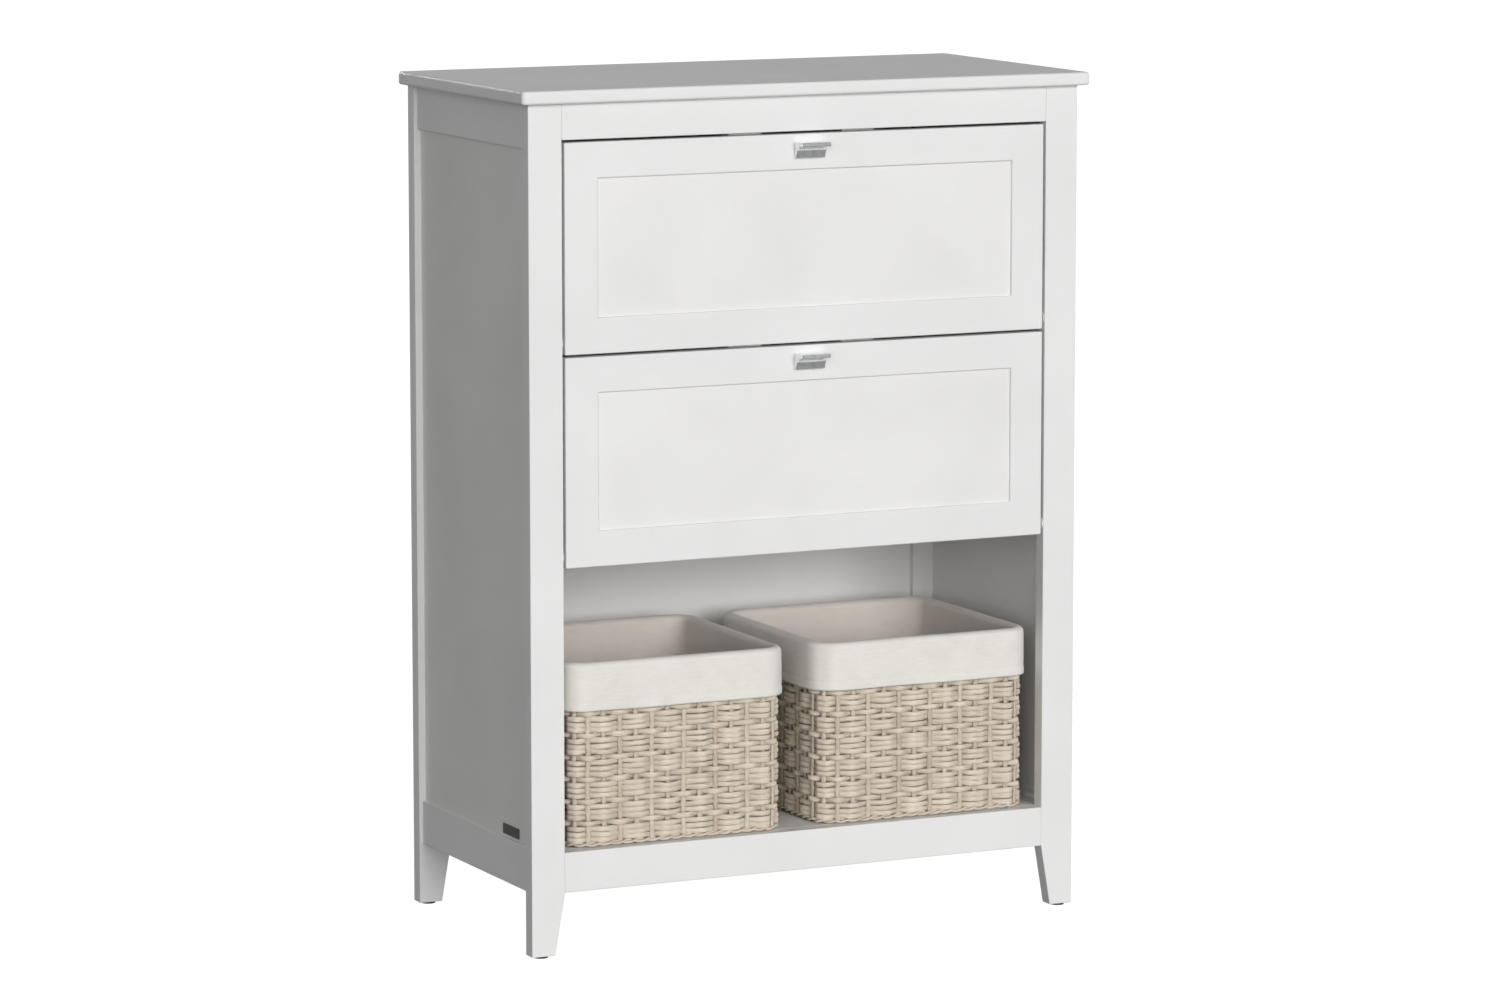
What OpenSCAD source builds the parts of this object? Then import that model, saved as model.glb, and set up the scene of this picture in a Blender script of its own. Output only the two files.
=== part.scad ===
// Shoe cabinet on four tapered legs: two drop-front flaps over an open bay with two lined baskets.
// Millimetres, +Z up, the front faces -Y. The origin is on the floor, under the centre of the whole cabinet.
// A "y" in this file is measured back from the front faces of the legs, unless it is called frame_y.

/* [Cabinet] */
// Width across the outer faces of the legs
body_w = 678; // [560:1:820]
// Depth from the front faces to the back faces of the legs
body_d = 340; // [280:1:420]
// Height from the floor to the top surface
body_h = 960; // [800:1:1160]
// Height from the floor to the underside of the rails
foot_h = 72; // [50:1:120]
// Height of the open bay, from its floor to the lower flap
bay_h = 317; // [260:1:385]

/* [Top panel] */
// Thickness of the top panel
top_t = 15; // [12:0.5:25]
// Overhang of the top past the legs at each side
top_side = 11; // [0:1:30]
// Overhang of the top past the legs at the front
top_front = 11; // [0:1:30]
// Overhang of the top past the legs at the back
top_back = 3; // [0:1:20]

/* [Legs and rails] */
// Thickness of the legs, rails and cleats
board_t = 18; // [16:0.1:22]
// Width of a leg seen from the front
leg_w = 40; // [36:1:55]
// How much narrower a leg is at the floor than at the rails
leg_taper = 12; // [0:1:16]
// Height of the front and back rails under the top
top_rail_h = 40; // [36:1:60]
// Height of the front and back rails under the bay
low_rail_h = 45; // [40:1:60]
// Height of the rails at the sides
side_rail_h = 50; // [44:1:70]
// Distance from a leg's outer face in to a side rail's outer face
side_rail_recess = 4; // [1:0.5:6]
// Thickness of the glide under each leg
glide_t = 2; // [1:0.5:5]
// Radius of the glide under each leg
glide_r = 8; // [5:0.5:9]

/* [Panels and shelves] */
// Thickness of the side panels
side_panel_t = 6; // [4:0.5:9]
// Distance from a leg's outer face in to a side panel's outer face
side_panel_recess = 8; // [7:0.5:9]
// Thickness of the back panel
back_panel_t = 4; // [3:0.5:6]
// How far the panels reach into the grooves around them
tongue = 5; // [3:0.5:6]
// Thickness of the three shelves
shelf_t = 15; // [12:0.5:20]

/* [Flaps] */
// Thickness of a flap's frame
flap_t = 16; // [14:0.1:20]
// Width of the frame around a flap's panel
flap_frame = 40; // [32:1:60]
// Distance from the frame's front face back to the panel's
flap_panel_recess = 3.5; // [2:0.5:5]
// Thickness of a flap's panel
flap_panel_t = 6; // [4:0.5:8]
// How far a flap's panel reaches into its frame
flap_tongue = 8; // [5:0.5:10]
// Gap around each flap
flap_gap = 3; // [2.5:0.25:5]

/* [Hinges and stays] */
// Radius of a hinge pin
pin_r = 2.5; // [2:0.25:3]
// Clearance left in the gap under a flap as its bottom corner turns past
corner_clear = 0.6; // [0.4:0.1:1]
// Length of a hinge pin inside the flap
pin_in_flap = 20; // [12:1:30]
// Length of a hinge pin inside its bush
pin_in_bush = 10; // [8:1:11]
// Wall of a hinge bush
bush_wall = 2; // [1.5:0.25:2.5]
// Length of a hinge bush inside the leg
bush_l = 12; // [11.5:0.5:13]
// Radial clearance of a hinge pin in its bush
pin_clear = 0.05; // [0.02:0.01:0.1]
// Distance from a flap's top edge down to where its stays meet it
stay_drop = 47; // [42:1:80]
// Thickness of a stay, across the cabinet
stay_t = 3; // [2:0.5:4]
// Height of a stay's section, towards the hinge axis
stay_h = 6; // [4:0.5:8]
// Clearance of a stay in its guide
stay_clear = 0.5; // [0.4:0.1:1]
// Height of a closed stay's stop block over the shelf
stop_rise = 8; // [4:0.5:20]

/* [Pulls and catches] */
// Width of a pull
pull_w = 36; // [28:1:80]
// Height of a pull
pull_h = 18; // [16:1:30]
// How far a pull stands out from the flap
pull_d = 20; // [16:1:30]
// Distance from a flap's top edge down to the middle of its pull
pull_drop = 17.5; // [15:0.5:22]
// Distance from the middle of the cabinet to each magnetic catch
catch_x = 70; // [60:1:150]

/* [Baskets] */
// Gap between a basket's weave and the leg beside it
basket_side = 10.5; // [6:0.5:30]
// Gap between the two baskets' weave
basket_mid = 41; // [12:1:80]
// Distance from the legs' front faces back to the baskets
basket_set = 12; // [5:1:40]
// Gap between the baskets and the back panel
basket_back = 54; // [5:1:80]
// Headroom over the baskets in the bay
basket_head = 108; // [40:1:140]
// Radius of a basket's upright corners
basket_r = 28; // [15:1:45]
// Thickness of the woven wall
weave_t = 9; // [6:0.5:12]
// Thickness of the woven floor
weave_floor = 6; // [4:0.5:10]
// Height of the liner's cuff outside the rim
cuff_h = 55; // [25:1:80]
// Thickness of the cuff outside the weave
cuff_t = 4; // [2:0.5:5]
// Thickness of the liner inside the basket
liner_t = 2; // [1:0.5:3]
// Clearance under a basket
basket_clear = 0.4; // [0.3:0.1:1]

/* [Fixings] */
// Radius of a dowel
dowel_r = 4; // [3:0.5:4]
// Length of a dowel
dowel_l = 30; // [24:1:30]
// Radius of a wall-anchor hole in the back rail
anchor_r = 2.5; // [2:0.25:3.5]
// Distance between the two wall-anchor holes
anchor_pitch = 400; // [200:1:400]

/* [Hidden] */
$fn = 48;
SIDES = [-1, 1];

// Frame: the whole depth runs from the pulls, or the top's front edge, to the top's back edge.
front_reach = max(pull_d, top_front);
frame_y = -(body_d + top_back - front_reach) / 2;
half_w = body_w / 2;
inner_x = half_w - leg_w;
carcass_h = body_h - top_t;
back_y = body_d - board_t;
back_panel_y = back_y + board_t / 2;

// Rails
top_rail_z = carcass_h - top_rail_h;
low_rail_top = foot_h + low_rail_h;
side_rail_x = half_w - side_rail_recess - board_t;
side_top_rail_z = carcass_h - side_rail_h;
side_low_rail_top = foot_h + side_rail_h;
side_panel_x = half_w - side_panel_recess - side_panel_t;

// Flaps, from the bay up: a gap over each one, and a shelf level with the bottom edge of each one
lower_z = low_rail_top + bay_h;
flap_h = (top_rail_z - lower_z - 2 * flap_gap) / 2;
upper_z = lower_z + flap_h + flap_gap;
flap_x = inner_x - flap_gap;
flap_panel_x = flap_x - flap_frame;

// The hinge axis is at mid thickness, and so high that the flap's corner turns past within the gap below it.
axis_y = flap_t / 2;
corner_dip = flap_gap - corner_clear;
pin_rise = (axis_y * axis_y - corner_dip * corner_dip) / (2 * corner_dip);
shelf_clear = 1;
shelf_y = axis_y + pin_rise + corner_dip + shelf_clear;

// Hinges
bush_r = pin_r + pin_clear + bush_wall;
bush_bore = pin_r + pin_clear;
bush_end = 0.5;
flange_t = 1;
flange_r = bush_r + 2;

// Stays: arcs about the hinge axis, from the flap's back through a guide to a stop block
stay_r = flap_h - pin_rise - stay_drop;
stay_x = flap_x - 12;
stay_foot_w = 14;
stay_foot_h = 26;
stay_foot_t = 2;
guide_y = max(board_t, flap_t + stay_foot_t) + 4;
guide_d = 12;
guide_wall = 4;
guide_arm = 3;
stop_d = 4;
stop_extra = 3;
tail_angle = asin((shelf_t - pin_rise + stop_rise) / (stay_r - stay_h / 2 - stop_extra));
stop_angle = tail_angle + stop_d / stay_r * 180 / PI;
head_angle = acos((flap_t + stay_foot_t / 2 - axis_y) / stay_r);

// Pulls and catches
scoop_lip = 5;
scoop_r = min(pull_d, pull_h) - scoop_lip + 1;
pull_screw_x = 9;
pull_screw_r = 2;
pull_screw_in = 7;
pull_screw_drop = 7;
screw_head_r = 4;
screw_head_h = 2;
catch_w = 40;
catch_d = 18;
catch_h = 22;
catch_tab = 18;
strike_w = 30;
strike_h = 15;
strike_t = 1.5;
strike_drop = 2;
strike_gap = 0.5;
catch_y = flap_t + strike_t + strike_gap;
magnet_w = 26;
magnet_d = 4;
magnet_h = 9;

// Shelf screws
shelf_screw_r = 2;
shelf_screw_l = 29;
shelf_screw_inset = 60;

// Baskets
basket_w = inner_x - basket_side - basket_mid / 2;
basket_x = (basket_w + basket_mid) / 2;
basket_d = back_panel_y - basket_back - basket_set;
basket_y = basket_set + basket_d / 2;
basket_z = low_rail_top + basket_clear;
basket_h = bay_h - basket_head - basket_clear;

// Blank plate on the left side
plate_w = 45;
plate_h = 12;
plate_t = 0.8;
plate_set = 34;
plate_rise = 3;

WHITE = [0.93, 0.93, 0.93];
SHADE = [0.86, 0.86, 0.86];
BIRCH = [0.83, 0.72, 0.54];
STEEL = [0.66, 0.67, 0.69];
NYLON = [0.90, 0.90, 0.88];
CHROME = [0.80, 0.81, 0.83];
DARK = [0.25, 0.25, 0.26];
SEAGRASS = [0.74, 0.67, 0.56];
LINEN = [0.90, 0.88, 0.85];

// A box between two values along each axis
module block(x, y, z) {
    translate([x[0], frame_y + y[0], z[0]])
        cube([x[1] - x[0], y[1] - y[0], z[1] - z[0]]);
}

// A round bar along X from x0, centred on y and z
module bar_x(x0, y, z, r, l) {
    translate([x0, frame_y + y, z])
        rotate([0, 90, 0])
            cylinder(r = r, h = l);
}

// A round bar along Y from y0, centred on x and z
module bar_y(x, y0, z, r, l) {
    translate([x, frame_y + y0, z])
        rotate([-90, 0, 0])
            cylinder(r = r, h = l);
}

// A round bar along Z from z0, centred on x and y
module bar_z(x, y, z0, r, l) {
    translate([x, frame_y + y, z0])
        cylinder(r = r, h = l);
}

// Draws its children, which are made for the right side, on side s: 1 is right, -1 is left
module on_side(s) {
    mirror([s < 0 ? 1 : 0, 0, 0])
        children();
}

// ---- Dowels ----

module side_rail_dowels() {
    for (y = [board_t, back_y])
        for (z = [foot_h + side_rail_h / 2, side_top_rail_z + side_rail_h / 2])
            for (dz = [-12, 12])
                bar_y(side_rail_x + board_t / 2, y - dowel_l / 2, z + dz, dowel_r, dowel_l);
}

module long_rail_dowels() {
    for (y = [board_t / 2, back_panel_y]) {
        for (dz = [-12, 12])
            bar_x(inner_x - dowel_l / 2, y, foot_h + low_rail_h / 2 + dz, dowel_r, dowel_l);
        for (dz = [-9, 11])
            bar_x(inner_x - dowel_l / 2, y, top_rail_z + top_rail_h / 2 + dz, dowel_r, dowel_l);
    }
}

module cleat_dowels() {
    for (y = [board_t, back_y]) {
        bar_y(side_rail_x - board_t / 2, y - dowel_l / 2, low_cleat_z() + board_t / 2, dowel_r, dowel_l);
        for (z = [lower_z, upper_z])
            bar_y(side_panel_x - board_t / 2, y - dowel_l / 2, z + shelf_t + board_t / 2, dowel_r, dowel_l);
    }
}

module top_dowels() {
    top_in = top_t * 2 / 3;
    z = carcass_h + top_in - dowel_l;
    for (y = [board_t / 2, back_panel_y])
        bar_z(inner_x / 2, y, z, dowel_r, dowel_l);
    bar_z(side_rail_x + board_t / 2, body_d / 2, z, dowel_r, dowel_l);
}

module right_dowels() {
    side_rail_dowels();
    long_rail_dowels();
    cleat_dowels();
    top_dowels();
}

module dowels() {
    color(BIRCH)
        for (s = SIDES)
            on_side(s)
                right_dowels();
}

// ---- Legs, rails and top ----

module top_panel() {
    color(WHITE)
        difference() {
            block([-half_w - top_side, half_w + top_side], [-top_front, body_d + top_back], [carcass_h, body_h]);
            for (s = SIDES)
                on_side(s)
                    top_dowels();
        }
}

module side_panel_board() {
    block([side_panel_x, side_panel_x + side_panel_t], [board_t - tongue, back_y + tongue],
        [side_low_rail_top - tongue, side_top_rail_z + tongue]);
}

module back_panel_board() {
    block([-inner_x - tongue, inner_x + tongue], [back_panel_y, back_panel_y + back_panel_t],
        [low_rail_top - tongue, top_rail_z + tongue]);
}

// The holes that the bushes sit in
module bush_holes() {
    for (z = [lower_z, upper_z])
        bar_x(inner_x, axis_y, z + pin_rise, bush_r, bush_l + bush_end);
}

// A leg's outline, with its outer edge upright and its inner edge tapered below the rails
module leg_outline() {
    polygon([
        [half_w, glide_t], [half_w, carcass_h], [inner_x, carcass_h], [inner_x, foot_h],
        [inner_x + leg_taper, glide_t]
    ]);
}

module leg(y) {
    difference() {
        translate([0, frame_y + y + board_t, 0])
            rotate([90, 0, 0])
                linear_extrude(board_t)
                    leg_outline();
        side_panel_board();
        back_panel_board();
        bush_holes();
        right_dowels();
    }
}

module front_left_leg() {
    color(WHITE)
        on_side(-1)
            leg(0);
}

module front_right_leg() {
    color(WHITE)
        leg(0);
}

module back_left_leg() {
    color(WHITE)
        on_side(-1)
            leg(back_y);
}

module back_right_leg() {
    color(WHITE)
        leg(back_y);
}

module leg_glides() {
    x = half_w - (leg_w - leg_taper) / 2;
    color(DARK)
        for (s = SIDES)
            for (y = [board_t / 2, back_panel_y])
                bar_z(s * x, y, 0, glide_r, glide_t);
}

module left_side_panel() {
    color(SHADE)
        on_side(-1)
            side_panel_board();
}

module right_side_panel() {
    color(SHADE)
        side_panel_board();
}

module side_rail(z) {
    difference() {
        block([side_rail_x, side_rail_x + board_t], [board_t, back_y], [z, z + side_rail_h]);
        side_panel_board();
        right_dowels();
    }
}

module left_top_rail() {
    color(WHITE)
        on_side(-1)
            side_rail(side_top_rail_z);
}

module right_top_rail() {
    color(WHITE)
        side_rail(side_top_rail_z);
}

module left_low_rail() {
    color(WHITE)
        on_side(-1)
            side_rail(foot_h);
}

module right_low_rail() {
    color(WHITE)
        side_rail(foot_h);
}

// A rail between two legs, front or back
module long_rail(y, z, h) {
    difference() {
        block([-inner_x, inner_x], [y, y + board_t], [z, z + h]);
        back_panel_board();
        for (s = SIDES)
            on_side(s)
                right_dowels();
    }
}

module front_top_rail() {
    color(WHITE)
        long_rail(0, top_rail_z, top_rail_h);
}

module front_low_rail() {
    color(WHITE)
        long_rail(0, foot_h, low_rail_h);
}

module back_top_rail() {
    color(WHITE)
        difference() {
            long_rail(back_y, top_rail_z, top_rail_h);
            for (s = SIDES)
                bar_y(s * anchor_pitch / 2, back_y - 1, top_rail_z + top_rail_h / 2, anchor_r, board_t + 2);
        }
}

module back_low_rail() {
    color(WHITE)
        long_rail(back_y, foot_h, low_rail_h);
}

module back_panel() {
    color(SHADE)
        back_panel_board();
}

// ---- Shelves ----

// Height of the underside of the cleats that carry the bay floor
function low_cleat_z() = low_rail_top - shelf_t - board_t;

// One countersunk screw, head down, at a cleat's middle line
module shelf_screw(x, y, z) {
    translate([x, frame_y + y, z])
        cylinder(r1 = screw_head_r, r2 = shelf_screw_r, h = screw_head_h);
    bar_z(x, y, z + screw_head_h, shelf_screw_r, shelf_screw_l - screw_head_h);
}

module right_shelf_screws() {
    for (y = [shelf_screw_inset, body_d / 2, body_d - shelf_screw_inset]) {
        shelf_screw(side_rail_x - board_t / 2, y, low_cleat_z());
        for (z = [lower_z, upper_z])
            shelf_screw(side_panel_x - board_t / 2, y, z);
    }
}

module shelf_screws() {
    color(STEEL)
        for (s = SIDES)
            on_side(s)
                right_shelf_screws();
}

module bay_floor() {
    color(WHITE)
        difference() {
            block([-side_rail_x, side_rail_x], [board_t, back_y], [low_rail_top - shelf_t, low_rail_top]);
            for (s = SIDES)
                on_side(s)
                    right_shelf_screws();
        }
}

// A shelf behind a flap, notched around the back legs
module flap_shelf(z) {
    difference() {
        block([-side_panel_x, side_panel_x], [shelf_y, back_panel_y], [z, z + shelf_t]);
        for (s = SIDES)
            on_side(s) {
                block([inner_x, half_w], [back_y, body_d], [z - 1, z + shelf_t + 1]);
                right_shelf_screws();
            }
    }
}

module bay_ceiling() {
    color(WHITE)
        flap_shelf(lower_z);
}

module upper_shelf() {
    color(WHITE)
        flap_shelf(upper_z);
}

// A cleat on each side, whose outer face is at x
module cleats(x, z) {
    for (s = SIDES)
        on_side(s)
            difference() {
                block([x - board_t, x], [board_t, back_y], [z, z + board_t]);
                right_dowels();
                right_shelf_screws();
            }
}

module bay_floor_cleats() {
    color(WHITE)
        cleats(side_rail_x, low_cleat_z());
}

module bay_ceiling_cleats() {
    color(WHITE)
        cleats(side_panel_x, lower_z + shelf_t);
}

module upper_shelf_cleats() {
    color(WHITE)
        cleats(side_panel_x, upper_z + shelf_t);
}

// ---- Hinges, stays and catches on the carcass ----

module bush(z) {
    difference() {
        union() {
            bar_x(inner_x, axis_y, z, bush_r, bush_l);
            bar_x(inner_x - flange_t, axis_y, z, flange_r, flange_t);
        }
        bar_x(inner_x - flange_t - 1, axis_y, z, bush_bore, bush_l + flange_t + 2);
    }
}

module hinge_bushes() {
    color(NYLON)
        for (s = SIDES)
            for (z = [lower_z, upper_z])
                on_side(s)
                    bush(z + pin_rise);
}

// A ring about the hinge axis of the flap at z, between two radii, from x0 over a width w
module axis_ring(x0, w, z, r_in, r_out) {
    translate([x0, frame_y + axis_y, z + pin_rise])
        rotate([0, 90, 0])
            difference() {
                cylinder(r = r_out, h = w, $fn = 96);
                translate([0, 0, -1])
                    cylinder(r = r_in, h = w + 2, $fn = 96);
            }
}

// The eye that a stay slides through, with an arm out to the back face of the front leg
module stay_guide(z) {
    mid_z = z + pin_rise + sqrt(stay_r * stay_r - pow(guide_y + guide_d / 2 - axis_y, 2));
    eye_h = stay_h / 2 + stay_clear + guide_wall;
    eye_x0 = stay_x - stay_clear - guide_arm;
    difference() {
        union() {
            block([eye_x0, inner_x + board_t], [guide_y, guide_y + guide_d], [mid_z - eye_h, mid_z + eye_h]);
            block([inner_x + 2, inner_x + board_t], [board_t, guide_y], [mid_z - eye_h, mid_z + eye_h]);
        }
        axis_ring(stay_x - stay_clear, stay_t + 2 * stay_clear, z,
            stay_r - stay_h / 2 - stay_clear, stay_r + stay_h / 2 + stay_clear);
    }
}

module stay_guides() {
    color(NYLON)
        for (s = SIDES)
            for (z = [lower_z, upper_z])
                on_side(s)
                    stay_guide(z);
}

// Body of a magnetic catch whose mouth is level with the top of the flap at z
module catch_magnet(z) {
    top = z + flap_h - strike_drop;
    block([catch_x - magnet_w / 2, catch_x + magnet_w / 2], [catch_y, catch_y + magnet_d],
        [top - strike_h / 2 - magnet_h / 2, top - strike_h / 2 + magnet_h / 2]);
}

module catch_magnets() {
    color(STEEL)
        for (s = SIDES)
            for (z = [lower_z, upper_z])
                on_side(s)
                    catch_magnet(z);
}

// The upper catches hang from a tab on the back of the top rail.
module upper_catches() {
    color(NYLON)
        for (s = SIDES)
            on_side(s)
                difference() {
                    union() {
                        block([catch_x - catch_w / 2, catch_x + catch_w / 2], [catch_y, catch_y + catch_d],
                            [top_rail_z - catch_h, top_rail_z]);
                        block([catch_x - catch_w / 2, catch_x + catch_w / 2], [board_t, catch_y + catch_d],
                            [top_rail_z, top_rail_z + catch_tab]);
                    }
                    catch_magnet(upper_z);
                }
}

// The lower catches hang from the upper shelf.
module lower_catches() {
    color(NYLON)
        for (s = SIDES)
            on_side(s)
                difference() {
                    block([catch_x - catch_w / 2, catch_x + catch_w / 2], [catch_y, shelf_y + catch_d],
                        [upper_z - catch_h, upper_z]);
                    catch_magnet(lower_z);
                }
}

module blank_plate() {
    y0 = board_t + plate_set;
    z0 = side_low_rail_top + plate_rise;
    face_x = side_panel_x + side_panel_t;
    color(DARK)
        on_side(-1)
            block([face_x, face_x + plate_t], [y0, y0 + plate_w], [z0, z0 + plate_h]);
}

// ---- Flaps: every module takes the height z of the flap's bottom edge ----

module hinge_pins(z) {
    for (s = SIDES)
        on_side(s)
            bar_x(flap_x - pin_in_flap, axis_y, z + pin_rise, pin_r, pin_in_flap + flap_gap + pin_in_bush);
}

module pull_screws(z) {
    screw_z = z + flap_h - pull_drop + pull_h / 2 - pull_screw_drop;
    for (s = SIDES) {
        bar_y(s * pull_screw_x, -pull_screw_in, screw_z, pull_screw_r, pull_screw_in + flap_t);
        bar_y(s * pull_screw_x, flap_t, screw_z, screw_head_r, screw_head_h);
    }
}

module flap_panel_board(z) {
    x = flap_panel_x + flap_tongue;
    block([-x, x], [flap_panel_recess, flap_panel_recess + flap_panel_t],
        [z + flap_frame - flap_tongue, z + flap_h - flap_frame + flap_tongue]);
}

// A rail across a flap from z0, with a tongue at each end that fills the stiles' grooves
module flap_rail_board(z0) {
    x = flap_panel_x + flap_tongue;
    block([-flap_panel_x, flap_panel_x], [0, flap_t], [z0, z0 + flap_frame]);
    block([-x, x], [flap_panel_recess, flap_panel_recess + flap_panel_t], [z0, z0 + flap_frame]);
}

module flap_rail(z, z0) {
    difference() {
        flap_rail_board(z0);
        flap_panel_board(z);
        pull_screws(z);
    }
}

module flap_stile(s, z) {
    on_side(s)
        difference() {
            block([flap_panel_x, flap_x], [0, flap_t], [z, z + flap_h]);
            flap_panel_board(z);
            flap_rail_board(z);
            flap_rail_board(z + flap_h - flap_frame);
            hinge_pins(z);
        }
}

// A block with a round scoop under its front lip, for the fingers
module pull(z) {
    top = z + flap_h - pull_drop + pull_h / 2;
    difference() {
        block([-pull_w / 2, pull_w / 2], [-pull_d, 0], [top - pull_h, top]);
        bar_x(-pull_w / 2 - 1, -pull_d + 1, top - scoop_lip - scoop_r, scoop_r, pull_w + 2);
        pull_screws(z);
    }
}

module strikes(z) {
    top = z + flap_h - strike_drop;
    for (s = SIDES)
        on_side(s)
            block([catch_x - strike_w / 2, catch_x + strike_w / 2], [flap_t, flap_t + strike_t],
                [top - strike_h, top]);
}

// A wedge about the hinge axis of the flap at z, from one angle to another over the horizontal
module axis_wedge(x0, w, z, low, high) {
    reach = 2 * stay_r;
    mid = (low + high) / 2;
    translate([x0, frame_y + axis_y, z + pin_rise])
        rotate([90, 0, 90])
            linear_extrude(w)
                polygon([
                    [0, 0], [reach * cos(low), reach * sin(low)], [reach * cos(mid), reach * sin(mid)],
                    [reach * cos(high), reach * sin(high)]
                ]);
}

module stay(z) {
    foot_z = z + pin_rise + stay_r;
    intersection() {
        axis_ring(stay_x, stay_t, z, stay_r - stay_h / 2, stay_r + stay_h / 2);
        axis_wedge(stay_x - 1, stay_t + 2, z, tail_angle, head_angle);
    }
    intersection() {
        axis_ring(stay_x, stay_t, z, stay_r - stay_h / 2 - stop_extra, stay_r + stay_h / 2 + stop_extra);
        axis_wedge(stay_x - 1, stay_t + 2, z, tail_angle, stop_angle);
    }
    block([stay_x + stay_t - stay_foot_w, stay_x + stay_t], [flap_t, flap_t + stay_foot_t],
        [foot_z - stay_foot_h / 2, foot_z + stay_foot_h / 2]);
}

module stays(z) {
    for (s = SIDES)
        on_side(s)
            stay(z);
}

module upper_flap_left_stile() {
    color(WHITE)
        flap_stile(-1, upper_z);
}

module upper_flap_right_stile() {
    color(WHITE)
        flap_stile(1, upper_z);
}

module upper_flap_top_rail() {
    color(WHITE)
        flap_rail(upper_z, upper_z + flap_h - flap_frame);
}

module upper_flap_low_rail() {
    color(WHITE)
        flap_rail(upper_z, upper_z);
}

module upper_flap_panel() {
    color(SHADE)
        flap_panel_board(upper_z);
}

module upper_pull() {
    color(CHROME)
        pull(upper_z);
}

module upper_pull_screws() {
    color(STEEL)
        pull_screws(upper_z);
}

module upper_strikes() {
    color(STEEL)
        strikes(upper_z);
}

module upper_hinge_pins() {
    color(STEEL)
        hinge_pins(upper_z);
}

module upper_stays() {
    color(STEEL)
        stays(upper_z);
}

module lower_flap_left_stile() {
    color(WHITE)
        flap_stile(-1, lower_z);
}

module lower_flap_right_stile() {
    color(WHITE)
        flap_stile(1, lower_z);
}

module lower_flap_top_rail() {
    color(WHITE)
        flap_rail(lower_z, lower_z + flap_h - flap_frame);
}

module lower_flap_low_rail() {
    color(WHITE)
        flap_rail(lower_z, lower_z);
}

module lower_flap_panel() {
    color(SHADE)
        flap_panel_board(lower_z);
}

module lower_pull() {
    color(CHROME)
        pull(lower_z);
}

module lower_pull_screws() {
    color(STEEL)
        pull_screws(lower_z);
}

module lower_strikes() {
    color(STEEL)
        strikes(lower_z);
}

module lower_hinge_pins() {
    color(STEEL)
        hinge_pins(lower_z);
}

module lower_stays() {
    color(STEEL)
        stays(lower_z);
}

// ---- Baskets ----

// A rectangle about the basket's middle with round corners, grown by g on every side
module basket_outline(g) {
    w = basket_w + 2 * g;
    d = basket_d + 2 * g;
    r = basket_r + g;
    square([w - 2 * r, d], center = true);
    square([w, d - 2 * r], center = true);
    for (x = [-1, 1])
        for (y = [-1, 1])
            translate([x * (w / 2 - r), y * (d / 2 - r)])
                circle(r);
}

// The outline, upright from z over a height h
module basket_block(g, z, h) {
    translate([basket_x, frame_y + basket_y, z])
        linear_extrude(h)
            basket_outline(g);
}

module basket_weave() {
    wall_h = basket_h - liner_t;
    difference() {
        basket_block(0, basket_z, wall_h);
        basket_block(-weave_t, basket_z + weave_floor, wall_h);
    }
}

// The liner covers the inside, folds over the rim and hangs outside as a cuff.
module basket_liner() {
    rim_z = basket_z + basket_h - liner_t;
    difference() {
        union() {
            basket_block(-weave_t, basket_z + weave_floor, basket_h - weave_floor);
            basket_block(cuff_t, rim_z, liner_t);
        }
        basket_block(-weave_t - liner_t, basket_z + weave_floor + liner_t, basket_h);
    }
    difference() {
        basket_block(cuff_t, basket_z + basket_h - cuff_h, cuff_h - liner_t);
        basket_block(0, basket_z, basket_h);
    }
}

module left_basket_weave() {
    color(SEAGRASS)
        on_side(-1)
            basket_weave();
}

module left_basket_liner() {
    color(LINEN)
        on_side(-1)
            basket_liner();
}

module right_basket_weave() {
    color(SEAGRASS)
        basket_weave();
}

module right_basket_liner() {
    color(LINEN)
        basket_liner();
}

top_panel();
front_left_leg();
front_right_leg();
back_left_leg();
back_right_leg();
leg_glides();
left_side_panel();
right_side_panel();
left_top_rail();
right_top_rail();
left_low_rail();
right_low_rail();
front_top_rail();
front_low_rail();
back_top_rail();
back_low_rail();
back_panel();
bay_floor();
bay_ceiling();
upper_shelf();
bay_floor_cleats();
bay_ceiling_cleats();
upper_shelf_cleats();
dowels();
shelf_screws();
hinge_bushes();
stay_guides();
upper_catches();
lower_catches();
catch_magnets();
blank_plate();
upper_flap_left_stile();
upper_flap_right_stile();
upper_flap_top_rail();
upper_flap_low_rail();
upper_flap_panel();
upper_pull();
upper_pull_screws();
upper_strikes();
upper_hinge_pins();
upper_stays();
lower_flap_left_stile();
lower_flap_right_stile();
lower_flap_top_rail();
lower_flap_low_rail();
lower_flap_panel();
lower_pull();
lower_pull_screws();
lower_strikes();
lower_hinge_pins();
lower_stays();
left_basket_weave();
left_basket_liner();
right_basket_weave();
right_basket_liner();
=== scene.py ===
"""White shoe cabinet with two drop-front flaps over an open bay that holds two lined seagrass baskets.

All lengths are metres in the cabinet's own frame: +Z up, the front faces -Y, the floor is z = 0.
"""

import logging
import math
from dataclasses import dataclass, field
from enum import Enum
from typing import ClassVar, Protocol

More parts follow.
